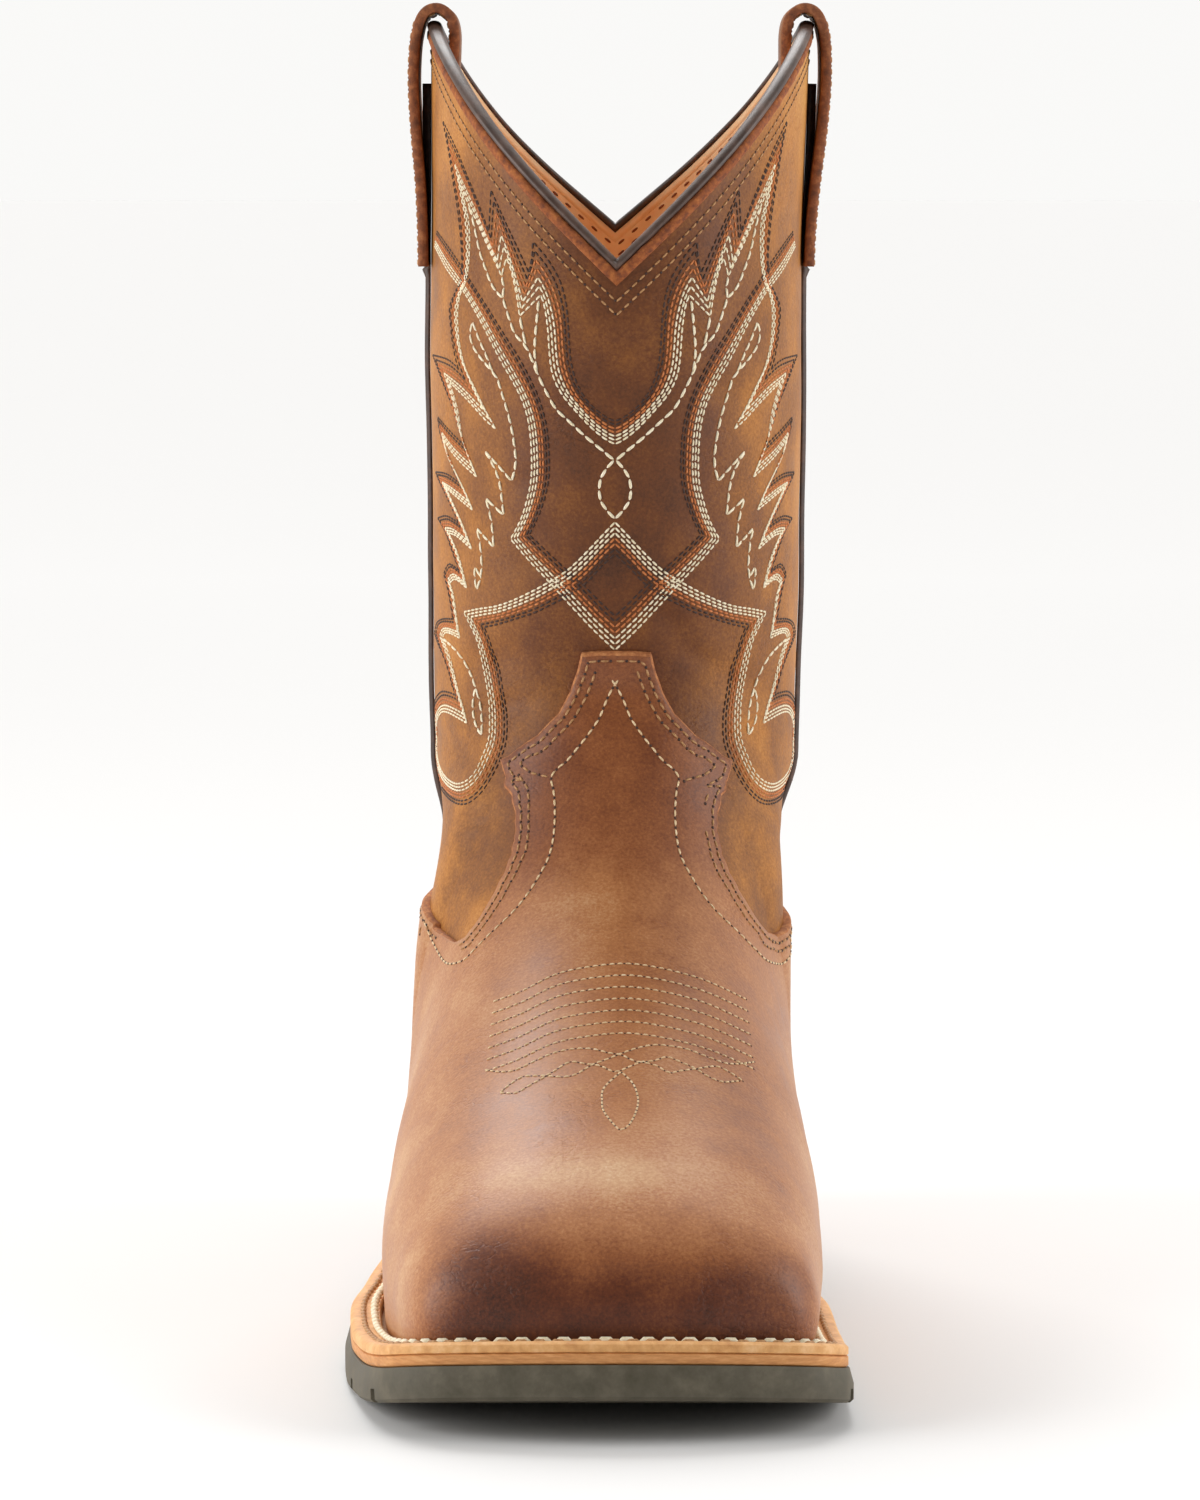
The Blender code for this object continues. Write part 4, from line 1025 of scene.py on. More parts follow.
DASH = plain("lining_thread", ("6b3418", "8a4a26", "a3603a"), 1500.0, (0.6, 0.8), 0.3)
WELT = plain("welt_leather", ("c4874a", "dca364", "ecbd88"), 260.0, (0.5, 0.7), 0.3)
MIDSOLE = plain("midsole_leather", ("ba7a44", "d09054", "e0a56c"), 260.0,
                (0.55, 0.7), 0.25, 0.0, (1.0, 1.0, 6.0))
RUBBER = plain("outsole_rubber", ("47412f", "575040", "696150"), 180.0, (0.55, 0.75), 0.2)
STACK = plain("stacked_leather", ("6f4424", "9a663c", "b88550"), 120.0,
              (0.5, 0.7), 0.35, 0.0, (0.5, 0.5, 9.0))
INSOLE = plain("insole_leather", ("c29a70", "d4b087", "e2c39c"), 200.0, (0.7, 0.85), 0.2)


def shaft_painted_light_and_shade(p):
    """Painted shade up the middle, painted light, lighter and more ochre, towards the side seams, and
    painted shade along a fold.
    """
    side = min(abs(p.x) / SHAFT_HALF_WIDTH, 1.0)
    tone = blend(*SHAFT_PAINTED_SHADE_AND_LIGHT, side ** SHAFT_TONE_POWER)
    # Painted light on the sides, low down and near the top.
    for lift, low, high in SHAFT_SIDE_PAINTED_LIGHT:
        tone += lift * ease(low, high, p.z) * side
    # Painted shade along a fold across the middle.
    dark, z, high = SHAFT_FOLD_PAINTED_SHADE
    tone -= dark * math.exp(-((p.z - z) / high) ** 2) * (1.0 - side)
    return tone


def vamp_tone_and_painted_light(p):
    """Painted shade on the toe's front face, painted highlights on the toe's corners, top and instep,
    painted shadow at the toe's foot, painted light on the lower sides, and a darker tongue.
    """
    scale, reach = TOE_WANDER
    wander = noise.noise(p * scale) * reach
    lean, x = TOE_LEAN
    # Painted shade on the toe's front face: full near the tip and below a height, between the two corners.
    front = ease(*TOE_FROM, p.y + wander) * ease(*TOE_BELOW, p.z + wander + lean * (p.x + x))
    middle = ease(*TOE_LATERAL, p.x) * ease(*TOE_MEDIAL, p.x)
    tone = VAMP_TONE - TOE_PAINTED_SHADE * front * middle
    # Painted light on the lower sides.
    tone += VAMP_SIDE_PAINTED_LIGHT * ease(*VAMP_SIDE_FROM, abs(p.x)) * ease(*VAMP_SIDE_BELOW, p.z)
    tone -= TONGUE_TONE * ease(*TONGUE_ABOVE, p.z)
    # Spots of painted highlight and painted shadow, and one darker patch.
    for lift, x, s, z, wide, long, high in VAMP_LIGHT_AND_SHADE_SPOTS:
        away = ((p.x - x) / wide) ** 2 + ((p.y - s) / long) ** 2 + ((p.z - z) / high) ** 2
        tone += lift * math.exp(-away)
    return tone


def build_upper():
    """The hollow shell: shaft leather outside, lining inside, raw rims."""
    points = []
    tones = []
    for out in (0.0, -UPPER_WALL):
        for r in range(LAST_ROW + 1):
            for c in range(AROUND):
                p = knot(c, r, out)
                points.append(p)
                tones.append(shaft_painted_light_and_shade(p))
    inner = AROUND * (LAST_ROW + 1)
    faces = []
    kinds = []
    for r in range(LAST_ROW):
        for c in range(AROUND):
            a = r * AROUND + c
            b = r * AROUND + (c + 1) % AROUND
            faces.append((a, a + AROUND, b + AROUND, b))
            kinds.append(0)
            faces.append((inner + a, inner + b, inner + b + AROUND, inner + a + AROUND))
            kinds.append(1)
    for c in range(AROUND):
        n = (c + 1) % AROUND
        low = LAST_ROW * AROUND
        faces.append((c, n, inner + n, inner + c))
        faces.append((low + n, low + c, inner + low + c, inner + low + n))
        kinds += [2, 2]
    obj = new_piece("upper_shell", points, faces, [SHAFT_LEATHER, LINING, RAW_EDGE], kinds,
                    tone=tones)
    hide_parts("upper")


def dense(outline, step):
    """The same closed outline with points no further apart than step, in grid units."""
    points = []
    for a, b in zip(outline, outline[1:] + outline[:1]):
        count = max(1, math.ceil(math.dist(a, b) / step))
        points += [(blend(a[0], b[0], i / count), blend(a[1], b[1], i / count)) for i in range(count)]
    return points


def inward(outline, reach):
    """Points inside a closed outline by a real distance, by the grid's local scale."""
    area = sum(a[0] * b[1] - b[0] * a[1] for a, b in zip(outline, outline[1:] + outline[:1]))
    turn = 1.0 if area > 0.0 else -1.0
    count = len(outline)
    moved = []
    for i, (c, r) in enumerate(outline):
        before = outline[i - 1]
        after = outline[(i + 1) % count]
        i0 = math.floor(c)
        j0 = min(max(math.floor(r), 0), LAST_ROW - 1)
        wide = (knot(i0 + 1, j0, 0.0) - knot(i0, j0, 0.0)).length
        tall = (knot(i0, j0 + 1, 0.0) - knot(i0, j0, 0.0)).length
        dc = (after[0] - before[0]) * wide
        dr = (after[1] - before[1]) * tall
        length = max(math.hypot(dc, dr), 1e-9)
        moved.append((c - turn * dr / length * reach / wide, r + turn * dc / length * reach / tall))
    return moved


def inside_mask(points, outline):
    """Which of the points lie inside a closed outline."""
    x, y = points[:, 0], points[:, 1]
    inside = np.zeros(len(points), bool)
    for a, b in zip(outline, outline[1:] + outline[:1]):
        if a[1] == b[1]:
            continue
        crosses = (a[1] > y) != (b[1] > y)
        inside ^= crosses & (x < (b[0] - a[0]) * (y - a[1]) / (b[1] - a[1]) + a[0])
    return inside


def overlay(name, outline, columns, leather_material, tone):
    """A leather piece laid on the upper: its skin, a rounded rim in the lighter cut-edge colour that is
    partly a painted highlight, and a raw edge.
    """
    rim = dense(outline, RIM_STEP)
    ring = inward(rim, RIM_SOFT)
    limit = inward(rim, RIM_KEEP_OFF)
    low, high = columns
    grid = np.array([(float(c), float(r)) for r in range(LAST_ROW + 1) for c in range(low, high + 1)])
    grid = grid[inside_mask(grid, limit)]
    places = [Vector(p) for p in rim] + [Vector(p) for p in ring] + [Vector(p) for p in grid]
    count = len(rim)
    loops = [list(range(count))]
    edges = [(count + i, count + (i + 1) % count) for i in range(count)]
    cut = delaunay_2d_cdt(places, edges, loops, 0, 0.005)
    flat, triangles, origin, sources = cut[0], cut[2], cut[3], cut[5]
    points = []
    tones = []
    on_rim = set()
    for k, place in enumerate(flat):
        first = min(origin[k]) if origin[k] else count * 2
        out = OVERLAY_TOP
        if first < count:
            out = OVERLAY_TOP - RIM_SOFT
            on_rim.add(k)
        p = skin(place.x, place.y, out)
        points.append(p)
        tones.append(tone(p))
    faces = []
    kinds = []
    used = {}
    for face, source in zip(triangles, sources):
        if 0 not in source:
            continue
        faces.append(tuple(face))
        # Faces on the rounded rim take the lighter cut-edge colour, which is partly a painted highlight
        # along the rim.
        kinds.append(1 if any(k in on_rim for k in face) else 0)
        for i in range(3):
            used[face[i], face[(i + 1) % 3]] = True
    foot = {}
    for a, b in list(used):
        if (b, a) in used:
            continue
        for k in (a, b):
            if k not in foot:
                foot[k] = len(points)
                points.append(skin(flat[k].x, flat[k].y, RIM_BASE))
                tones.append(0.0)
        faces.append((b, a, foot[a], foot[b]))
        kinds.append(1)
    return new_piece(name, points, faces, [leather_material, CUT_EDGE_AND_HIGHLIGHT], kinds, tone=tones)


def vamp_outline():
    medial = [from_front(x, z) for x, z in VAMP_EDGE]
    lateral = [from_front(-x, z) for x, z in VAMP_EDGE]
    low = LAST_ROW - OVERLAY_FOOT
    inset = FRONT_COLUMNS - SEAM_GROOVE
    outline = [from_front(0.01, VAMP_EDGE[0][1])] + medial
    outline.append((inset, row_at_height(FRONT_COLUMNS, VAMP_SEAM_HEIGHT)))
    outline += [(inset, low), (-inset, low)]
    outline.append((-inset, row_at_height(-FRONT_COLUMNS, VAMP_SEAM_HEIGHT)))
    return outline + lateral[::-1]


def counter_outline():
    low = LAST_ROW - OVERLAY_FOOT
    first = FRONT_COLUMNS + SEAM_GROOVE
    outline = [(first, low), (first, row_at_height(FRONT_COLUMNS, COUNTER_SEAM_HEIGHT))]
    for c in range(FRONT_COLUMNS + 3, AROUND - FRONT_COLUMNS - 2, 3):
        share = 1.0 - abs(c - COLUMNS) / BACK_COLUMNS
        height = blend(COUNTER_SEAM_HEIGHT, COUNTER_BACK_HEIGHT, ease(0.0, 1.0, share))
        outline.append((float(c), row_at_height(c, height)))
    outline.append((AROUND - first, row_at_height(AROUND - FRONT_COLUMNS, COUNTER_SEAM_HEIGHT)))
    outline.append((AROUND - first, low))
    return outline


def build_overlays():
    vamp = overlay("vamp_leather_piece", vamp_outline(), (-FRONT_COLUMNS, FRONT_COLUMNS),
                   VAMP_LEATHER, vamp_tone_and_painted_light)
    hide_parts("vamp")
    counter = overlay("counter_leather_piece", counter_outline(),
                      (FRONT_COLUMNS, AROUND - FRONT_COLUMNS), VAMP_LEATHER, lambda p: COUNTER_TONE)
    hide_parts("counter")


def swept(name, sections, closed, materials, kinds=None):
    """A body swept through equal sections."""
    size = len(sections[0])
    points = [p for section in sections for p in section]
    faces = []
    indices = []
    spans = len(sections) if closed else len(sections) - 1
    for i in range(spans):
        a = i * size
        b = ((i + 1) % len(sections)) * size
        for k in range(size):
            n = (k + 1) % size
            faces.append((a + k, a + n, b + n, b + k))
            indices.append(kinds[k] if kinds else 0)
    if not closed:
        last = (len(sections) - 1) * size
        faces.append(tuple(reversed(range(size))))
        faces.append(tuple(last + k for k in range(size)))
        indices += [max(kinds) if kinds else 0] * 2
    return new_piece(name, points, faces, materials, indices)


def rim_frames():
    """Along, outward and upward directions with the mitre share at each place of the collar's rim."""
    rim = [knot(c, 0, -0.5 * UPPER_WALL) for c in range(AROUND)]
    frames = []
    for c in range(AROUND):
        before = (rim[c] - rim[c - 1]).normalized()
        after = (rim[(c + 1) % AROUND] - rim[c]).normalized()
        along = (before + after).normalized()
        out = NORMALS[0][c]
        up = out.cross(along).normalized()
        if up.z < 0.0:
            up = -up
        out = (out - along * out.dot(along)).normalized()
        frames.append((rim[c], out, up / max(along.dot(after), 0.6)))
    return frames


def build_binding():
    """The rolled edge along the collar."""
    sections = []
    for place, out, up in rim_frames():
        section = []
        for k in range(ROLL_TURNS):
            angle = 2.0 * math.pi * k / ROLL_TURNS
            section.append(place + out * (ROLL_OUT + ROLL_HALF * math.cos(angle))
                           + up * (ROLL_MIDDLE + ROLL_RISE * math.sin(angle)))
        sections.append(section)
    obj = swept("collar_binding_roll", sections, True, [BINDING])
    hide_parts("collar_binding")


def build_collar_edge():
    """The rough raw edge of the leather just under the rolled binding."""
    sections = []
    for place, out, up in rim_frames():
        section = []
        for x, z in COLLAR_EDGE:
            p = place + out * x + up * z
            if x > COLLAR_EDGE_ROUGH_FROM:
                rough = sum(noise.noise(p * scale) * height for scale, height in COLLAR_EDGE_WAVES)
                p += out * rough + up * (0.5 * rough)
            section.append(p)
        sections.append(section)
    swept("collar_raw_edge", sections, True, [RAW_EDGE, LINING], COLLAR_EDGE_KINDS)


def curved(points, count):
    """Points spread along a rounded path through the given ones."""
    result = []
    last = len(points) - 1
    for i in range(last):
        p0, p1, p2, p3 = [Vector(points[min(max(i + k, 0), last)]) for k in (-1, 0, 1, 2)]
        for j in range(count):
            t = j / count
            result.append(0.5 * ((2.0 * p1) + (p2 - p0) * t + (2.0 * p0 - 5.0 * p1 + 4.0 * p2 - p3) * t * t
                                 + (3.0 * p1 - p0 - 3.0 * p2 + p3) * t ** 3))
    result.append(Vector(points[-1]))
    return result


def build_strap(name, node, side):
    """A pull strap with softened raw edges."""
    seam = AROUND - FRONT_COLUMNS if side == LATERAL else FRONT_COLUMNS
    middle = []
    for out, rise in STRAP_PATH:
        z = SHAFT_TOP + rise
        row = row_at_height(seam, min(z, SHAFT_TOP - 0.01))
        middle.append((abs(skin(seam, row, 0.0).x) + out, z))
    path = curved([(x, z, 0.0) for x, z in middle], 4)
    half, wall, soft = 0.5 * STRAP_WIDTH, 0.5 * STRAP_WALL, 0.5
    profile = ((-half, -wall + soft), (-half + soft, -wall), (half - soft, -wall), (half, -wall + soft),
               (half, wall - soft), (half - soft, wall), (-half + soft, wall), (-half, wall - soft))
    sections = []
    rows = [[], []]
    for i, p in enumerate(path):
        along = (path[min(i + 1, len(path) - 1)] - path[max(i - 1, 0)]).normalized()
        sections.append([Vector((side * (p.x + d * along.y), SEAM_S + w, p.y - d * along.x))
                         for w, d in profile])
        normal = Vector((-side * along.y, 0.0, along.x))
        if normal.x * side < 0.0 and i < len(path) // 2:
            normal = -normal
        for row, inset in zip(rows, (STRAP_SEAM_INSET - half, half - STRAP_SEAM_INSET)):
            row.append((Vector((side * p.x, SEAM_S + inset, p.y)) + normal * wall, normal))
    obj = swept(name, sections, False, [SHAFT_LEATHER, STRAP_EDGE], [1, 0, 1, 1, 1, 0, 1, 1])
    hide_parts(node)
    add_seam(name + "_seam", rows, STRAP_SEAM, TAN_THREAD)


def strap_room(z):
    """Free height between the shaft and the strap's inner face."""
    for (out_high, rise_high), (out_low, rise_low) in zip(STRAP_PATH[1:7], STRAP_PATH[:6]):
        high = SHAFT_TOP + rise_high
        low = SHAFT_TOP + rise_low
        if low <= z <= high:
            middle = blend(out_low, out_high, (z - low) / (high - low))
            return middle - 0.5 * STRAP_WALL - STRAP_CLEARANCE
    return STRAP_FREE


def build_piping(name, node, side):
    """The raised side seam as a half-round bead. Under the strap it rises only into the room the strap
    leaves, low near the strap's foot and up to a limit where the strap bows out; there its dark bead stands
    in for the shade in the gap.
    """
    seam = AROUND - FRONT_COLUMNS if side == LATERAL else FRONT_COLUMNS
    top = row_at_height(seam, SHAFT_TOP - PIPING_TOP)
    rows = [top] + [float(r) for r in range(math.ceil(top), LAST_ROW)]
    sections = []
    for r in rows:
        base = skin(seam, r, 0.0)
        out = normal_at(seam, r)
        along = (skin(seam, min(r + 0.5, LAST_ROW), 0.0) - skin(seam, max(r - 0.5, 0.0), 0.0)).normalized()
        across = out.cross(along).normalized()
        deep = blend(PIPING_RISE, PIPING_FOOT, ease(PIPING_SHALLOW_ABOVE, PIPING_DEEP_BELOW, base.z))
        # Under the strap the bead rises into the room left, its dark leather standing in for the shade in
        # the gap.
        if base.z > SHAFT_TOP + STRAP_PATH[0][1] - 1.0:
            deep = min(strap_room(base.z), PIPING_SHADE_FILL_UNDER_STRAP)
        section = []
        for k in range(PIPING_TURNS + 1):
            angle = math.pi * k / PIPING_TURNS
            rise = PIPING_SINK + (deep + PIPING_SINK) * math.sin(angle)
            section.append(base + across * (PIPING_HALF_WIDTH * math.cos(angle)) + out * rise)
        sections.append(section)
    obj = swept(name, sections, False, [PIPING])
    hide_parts(node)


def welt_reach(s):
    return blend(WELT_REACH_HEEL, WELT_REACH_FOREPART, ease(WELT_SPREAD_FROM, WELT_SPREAD_TO, s))


def outline_loop(reach):
    """Closed plan loop at a distance from the feather line, as points of x and s."""
    loop = []
    count = PLAN_SAMPLES
    for side, order in ((MEDIAL, range(count + 1)), (LATERAL, range(count, -1, -1))):
        edge = [section_point(FEATHER, side, 2.0 * i / count, 0.0) for i in range(count + 1)]
        for i in order:
            before = edge[max(i - 1, 0)]
            after = edge[min(i + 1, count)]
            d = Vector((after.x - before.x, after.y - before.y))
            if i in (0, count):
                d = Vector((side if i == 0 else -side, 0.0))
            d.normalize()
            away = Vector((d.y, -d.x)) * side
            s = edge[i].y
            loop.append(Vector((edge[i].x, s)) + away * reach(s))
        loop.pop()
    return loop


def even_loop(reach):
    """The plan loop with even spacing."""
    loop = outline_loop(reach)
    total = [0.0]
    count = len(loop)
    for i in range(count):
        total.append(total[-1] + (loop[(i + 1) % count] - loop[i]).length)
    result = []
    for k in range(PLAN_POINTS):
        target = total[-1] * k / PLAN_POINTS
        i = min(bisect_right(total, target) - 1, count - 1)
        t = (target - total[i]) / max(total[i + 1] - total[i], 1e-9)
        result.append(loop[i].lerp(loop[(i + 1) % count], t))
    return result


def shrink(loop, reach):
    """The loop moved inward by a distance along its own normals."""
    count = len(loop)
    result = []
    for i in range(count):
        d = (loop[(i + 1) % count] - loop[i - 1]).normalized()
        result.append(loop[i] + Vector((-d.y, d.x)) * reach)
    centre = sum(loop, Vector((0.0, 0.0))) / count
    grown = sum((p - centre).length for p in result) > sum((p - centre).length for p in loop)
    if grown == (reach > 0.0):
        return [2.0 * p - q for p, q in zip(loop, result)]
    return result


def ring_body(name, levels, materials, cap=True):
    """A plate from loops of equal count, each with its height rule, capped by strips across."""
    count = len(levels[0][0])
    points = []
    for loop, height in levels:
        points += [Vector((p.x, p.y, height(p.y))) for p in loop]
    faces = []
    for level in range(len(levels) - 1):
        for i in range(count):
            n = (i + 1) % count
            a = level * count
            b = a + count
            faces.append((a + i, a + n, b + n, b + i))
    if cap:
        for base in (0, (len(levels) - 1) * count):
            for i in range(count // 2):
                a, b = i, i + 1
                c, d = count - 1 - i, (count - i) % count
                quad = (base + a, base + b, base + c, base + d)
                if len(set(quad)) == 4:
                    faces.append(quad if base else quad[::-1])
                elif len(set(quad)) == 3:
                    faces.append(tuple(dict.fromkeys(quad)))
    obj = new_piece(name, points, faces, materials)
    face_outward(obj.data)
    return obj


def face_outward(mesh):
    volume = 0.0
    mesh.calc_loop_triangles()
    for triangle in mesh.loop_triangles:
        a, b, c = [mesh.vertices[i].co for i in triangle.vertices]
        volume += a.dot(b.cross(c))
    if volume < 0.0:
        mesh.flip_normals()


def cut_grooves(obj):
    """Straight grooves across the tread."""
    for i, s in enumerate(GROOVE_STATIONS):
        slope = math.atan2(tread_z(s + 1.0) - tread_z(s - 1.0), 2.0)
        points = []
        for x in (-GROOVE_HALF_LENGTH, GROOVE_HALF_LENGTH):
            for y in (-0.5 * GROOVE_WIDTH, 0.5 * GROOVE_WIDTH):
                for z in (-GROOVE_DEPTH, GROOVE_DEPTH):
                    points.append(world(Vector((x, s + y * math.cos(slope) - z * math.sin(slope),
                                                tread_z(s) + y * math.sin(slope) + z * math.cos(slope)))))
        mesh = bpy.data.meshes.new("groove_%d" % i)
        mesh.from_pydata(points, [], [(0, 1, 3, 2), (4, 6, 7, 5), (0, 4, 5, 1), (2, 3, 7, 6), (0, 2, 6, 4),
                                      (1, 5, 7, 3)])
        face_outward(mesh)
        cutter = bpy.data.objects.new("groove_%d" % i, mesh)
        bpy.context.scene.collection.objects.link(cutter)
        cut = obj.modifiers.new("groove_%d" % i, "BOOLEAN")
        cut.operation = "DIFFERENCE"
        cut.solver = "EXACT"
        cut.object = cutter
        bpy.context.view_layer.objects.active = obj
        bpy.ops.object.modifier_apply(modifier=cut.name)
        bpy.data.objects.remove(cutter, do_unlink=True)


def above(base, rise):
    """The height rule that lies so far over another one."""
    return lambda s: base(s) + rise


def profile(loop, rows):
    """Levels of a loop: how far each is moved in, the height rule it follows and its rise over that."""
    return [(shrink(loop, inset) if inset else loop, above(base, rise)) for inset, base, rise in rows]


def floor_z(s):
    return 0.0


def welt_z(s):
    return midsole_z(s) + WELT_WALL


def build_sole():
    """Outsole, midsole and welt with softened edges."""
    low = even_loop(lambda s: welt_reach(s) + OUTSOLE_FLARE)
    high = even_loop(lambda s: welt_reach(s) + OUTSOLE_TOP_REACH)
    levels = profile(low, ((0.7, tread_z, 0.0), (0.0, tread_z, 0.7), (0.0, tread_z, GROOVE_DEPTH + 1.2)))
    levels += profile(high, ((0.0, outsole_z, -0.1), (0.5, outsole_z, 0.0)))
    outsole = ring_body("outsole_rubber_plate", levels, [RUBBER])
    cut_grooves(outsole)
    shade_flat_by_angle(outsole, OUTSOLE_SHARP_FROM)
    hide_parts("outsole")
    edge = even_loop(welt_reach)
    levels = profile(edge, ((0.5, outsole_z, 0.05), (0.0, outsole_z, 0.5),
                            (0.0, midsole_z, -0.2), (0.35, midsole_z, 0.1)))
    midsole = ring_body("midsole_plate", levels, [MIDSOLE])
    shade_flat_by_angle(midsole, WELT_SHARP_FROM)
    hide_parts("midsole")
    inner = even_loop(lambda s: OVERLAY_TOP + WELT_CLEARANCE)
    bed = even_loop(lambda s: OVERLAY_TOP + WELT_CLEARANCE + WELT_BED_OUT)
    levels = profile(inner, ((0.0, midsole_z, 0.15), (0.0, welt_z, -0.4)))
    levels += profile(bed, ((0.0, welt_z, 0.1),))
    levels += profile(edge, ((3.4, welt_z, -0.1), (2.6, welt_z, 0.3), (0.7, welt_z, 0.1),
                             (0.0, welt_z, -0.6), (0.0, midsole_z, 0.35), (0.4, midsole_z, 0.15)))
    levels += profile(inner, ((0.0, midsole_z, 0.15),))
    welt = ring_body("welt_strip", levels, [WELT], cap=False)
    shade_flat_by_angle(welt, WELT_SHARP_FROM)
    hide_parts("welt")


def shade_flat_by_angle(obj, degrees):
    """Sharp edges stay sharp, the rest is smooth."""
    bpy.context.view_layer.objects.active = obj
    for other in bpy.context.selected_objects:
        other.select_set(False)
    obj.select_set(True)
    bpy.ops.object.shade_smooth_by_angle(angle=math.radians(degrees))


def capsule_mesh(places, radius, lift):
    """Points and faces of stitches: each place has two ends and a normal."""
    points = []
    faces = []
    for a, b, normal in places:
        along = b - a
        length = along.length
        if length < 1e-6:
            continue
        along = along / length
        side = along.cross(normal).normalized()
        up = side.cross(along).normalized()
        base = len(points)
        for share, scale in STITCH_PROFILE:
            middle = a + along * (length * share) + up * lift
            middle -= up * (radius * STITCH_SINK if scale < 1.0 else 0.0)
            for k in range(STITCH_SIDES):
                angle = 2.0 * math.pi * (k + 0.25) / STITCH_SIDES
                points.append(middle + side * (radius * scale * math.cos(angle))
                              + up * (radius * scale * STITCH_FLATNESS * math.sin(angle)))
        for ring in range(3):
            for k in range(STITCH_SIDES):
                n = (k + 1) % STITCH_SIDES
                i = base + ring * STITCH_SIDES
                faces.append((i + k, i + n, i + STITCH_SIDES + n, i + STITCH_SIDES + k))
        faces.append(tuple(base + k for k in reversed(range(STITCH_SIDES))))
        faces.append(tuple(base + 3 * STITCH_SIDES + k for k in range(STITCH_SIDES)))
    return points, faces


def stitch_places(path, pitch, first, last):
    """Stitches along a path of points with normals, each covering a share of its step."""
    total = [0.0]
    for (a, _), (b, _) in zip(path, path[1:]):
        total.append(total[-1] + (b - a).length)

    def at(d):
        i = min(bisect_right(total, min(max(d, 0.0), total[-1])) - 1, len(path) - 2)
        t = min(max((d - total[i]) / max(total[i + 1] - total[i], 1e-9), 0.0), 1.0)
        return path[i][0].lerp(path[i + 1][0], t), path[i][1].lerp(path[i + 1][1], t)

    places = []
    count = max(1, round(total[-1] / pitch))
    step = total[-1] / count
    for k in range(count):
        a, na = at((k + first) * step)
        b, nb = at((k + last) * step)
        places.append((a, b, (na + nb).normalized()))
    return places


def add_stitches(name, places, material, radius, lift):
    points, faces = capsule_mesh(places, radius, lift)
    return new_piece(name, points, faces, [material])


def on_surface(tree, places):
    """Photograph pixels laid on a surface; a pixel just past the outline moves in to meet it."""
    path = []
    for px, py in places:
        toward = 1.0 if px < MIRROR_PX else -1.0
        for step in range(EDGE_TRIES):
            found = photo_hit(tree, px + toward * step, py)
            if found and found[0].y > SEAM_S + 1.0:
                path.append(found)
                break
    return path


def mirrored(places):
    return [(2.0 * MIRROR_PX - px, py) for px, py in places]


def on_back(path):
    """The same line on the shaft's back panel."""
    moved = []
    for point, _ in path:
        hit, normal, _, _ = SHAFT_TREE.ray_cast(Vector((point.x, -400.0, point.z)), Vector((0.0, 1.0, 0.0)))
        if hit is None or hit.y > SEAM_S:
            continue
        moved.append((hit, -normal if normal.y > 0.0 else normal))
    return moved


def rounded_run(run):
    """Close points along one smooth run of a stitch line."""
    return [(p.x, p.y) for p in curved([(x, y, 0.0) for x, y in run], 5)]


def shaft_paths(places):
    """A line of the shaft's ornament on both halves, front and back."""
    front = [on_surface(SHAFT_TREE, places), on_surface(SHAFT_TREE, mirrored(places))]
    parts = []
    for path in front + [on_back(path) for path in front]:
        if len(path) > 1:
            parts += split_path(path, ORNAMENT_GAP)
    return parts


def build_shaft_stitches():
    """The flame bands and single lines of the shaft, front and back."""
    rows = {"cream": [], "rust": [], "dark": []}
    last = len(BAND_ROWS) - 1
    for run in FLAME_BAND + WING_BAND:
        for k, colour in enumerate(BAND_ROWS):
            share = k / last
            line = [(blend(x0, x1, share), blend(y0, y1, share)) for x0, y0, x1, y1 in run]
            for path in shaft_paths(rounded_run(line)):
                rows[colour] += stitch_places(path, *BAND_STITCH)
    for colour, thread, lift in (("cream", CREAM, 0.08), ("rust", RUST, 0.08), ("dark", DARK, 0.05)):
        add_stitches("shaft_stitches_" + colour, rows[colour], thread, BAND_RADIUS, lift)
    single = []
    for run in SINGLE_LINES:
        for path in shaft_paths(rounded_run(run)):
            single += stitch_places(path, *LINE_STITCH)
    add_stitches("shaft_lines_cream", single, CREAM, LINE_RADIUS, 0.1)


def collar_path(depth, out):
    """A line round the collar at a distance below the rim."""
    path = []
    for c in range(AROUND + 1):
        here = knot(c, 0, 0.0)
        before = (here - knot(c - 1, 0, 0.0)).normalized()
        after = (knot(c + 1, 0, 0.0) - here).normalized()
        along = (before + after).normalized()
        down = NORMALS[0][c % AROUND].cross(along).normalized()
        if down.z > 0.0:
            down = -down
        reach = depth / max(along.dot(after), 0.6)
        hit, normal, _, _ = SHAFT_TREE.find_nearest(here + down * reach)
        if normal.dot(NORMALS[0][c % AROUND]) < 0.0:
            normal = -normal
        facing = normal if out >= 0.0 else -normal
        path.append((hit + normal * out, facing))
    return path


def add_seam(name, paths, sizes, thread):
    """Thread with dark marks of painted shade in the needle holes between its stitches."""
    pitch, radius, hole_radius = sizes
    threads = []
    painted_hole_shades = []
    for path in paths:
        threads += stitch_places(path, pitch, *THREAD_SHARE)
        painted_hole_shades += stitch_places(path, pitch, *HOLE_SHARE)
    add_stitches(name + "_thread", threads, thread, radius, 0.1)
    # Dark thread stands in for the shade in each needle hole.
    add_stitches(name + "_holes", painted_hole_shades, DARK, hole_radius, -0.02)


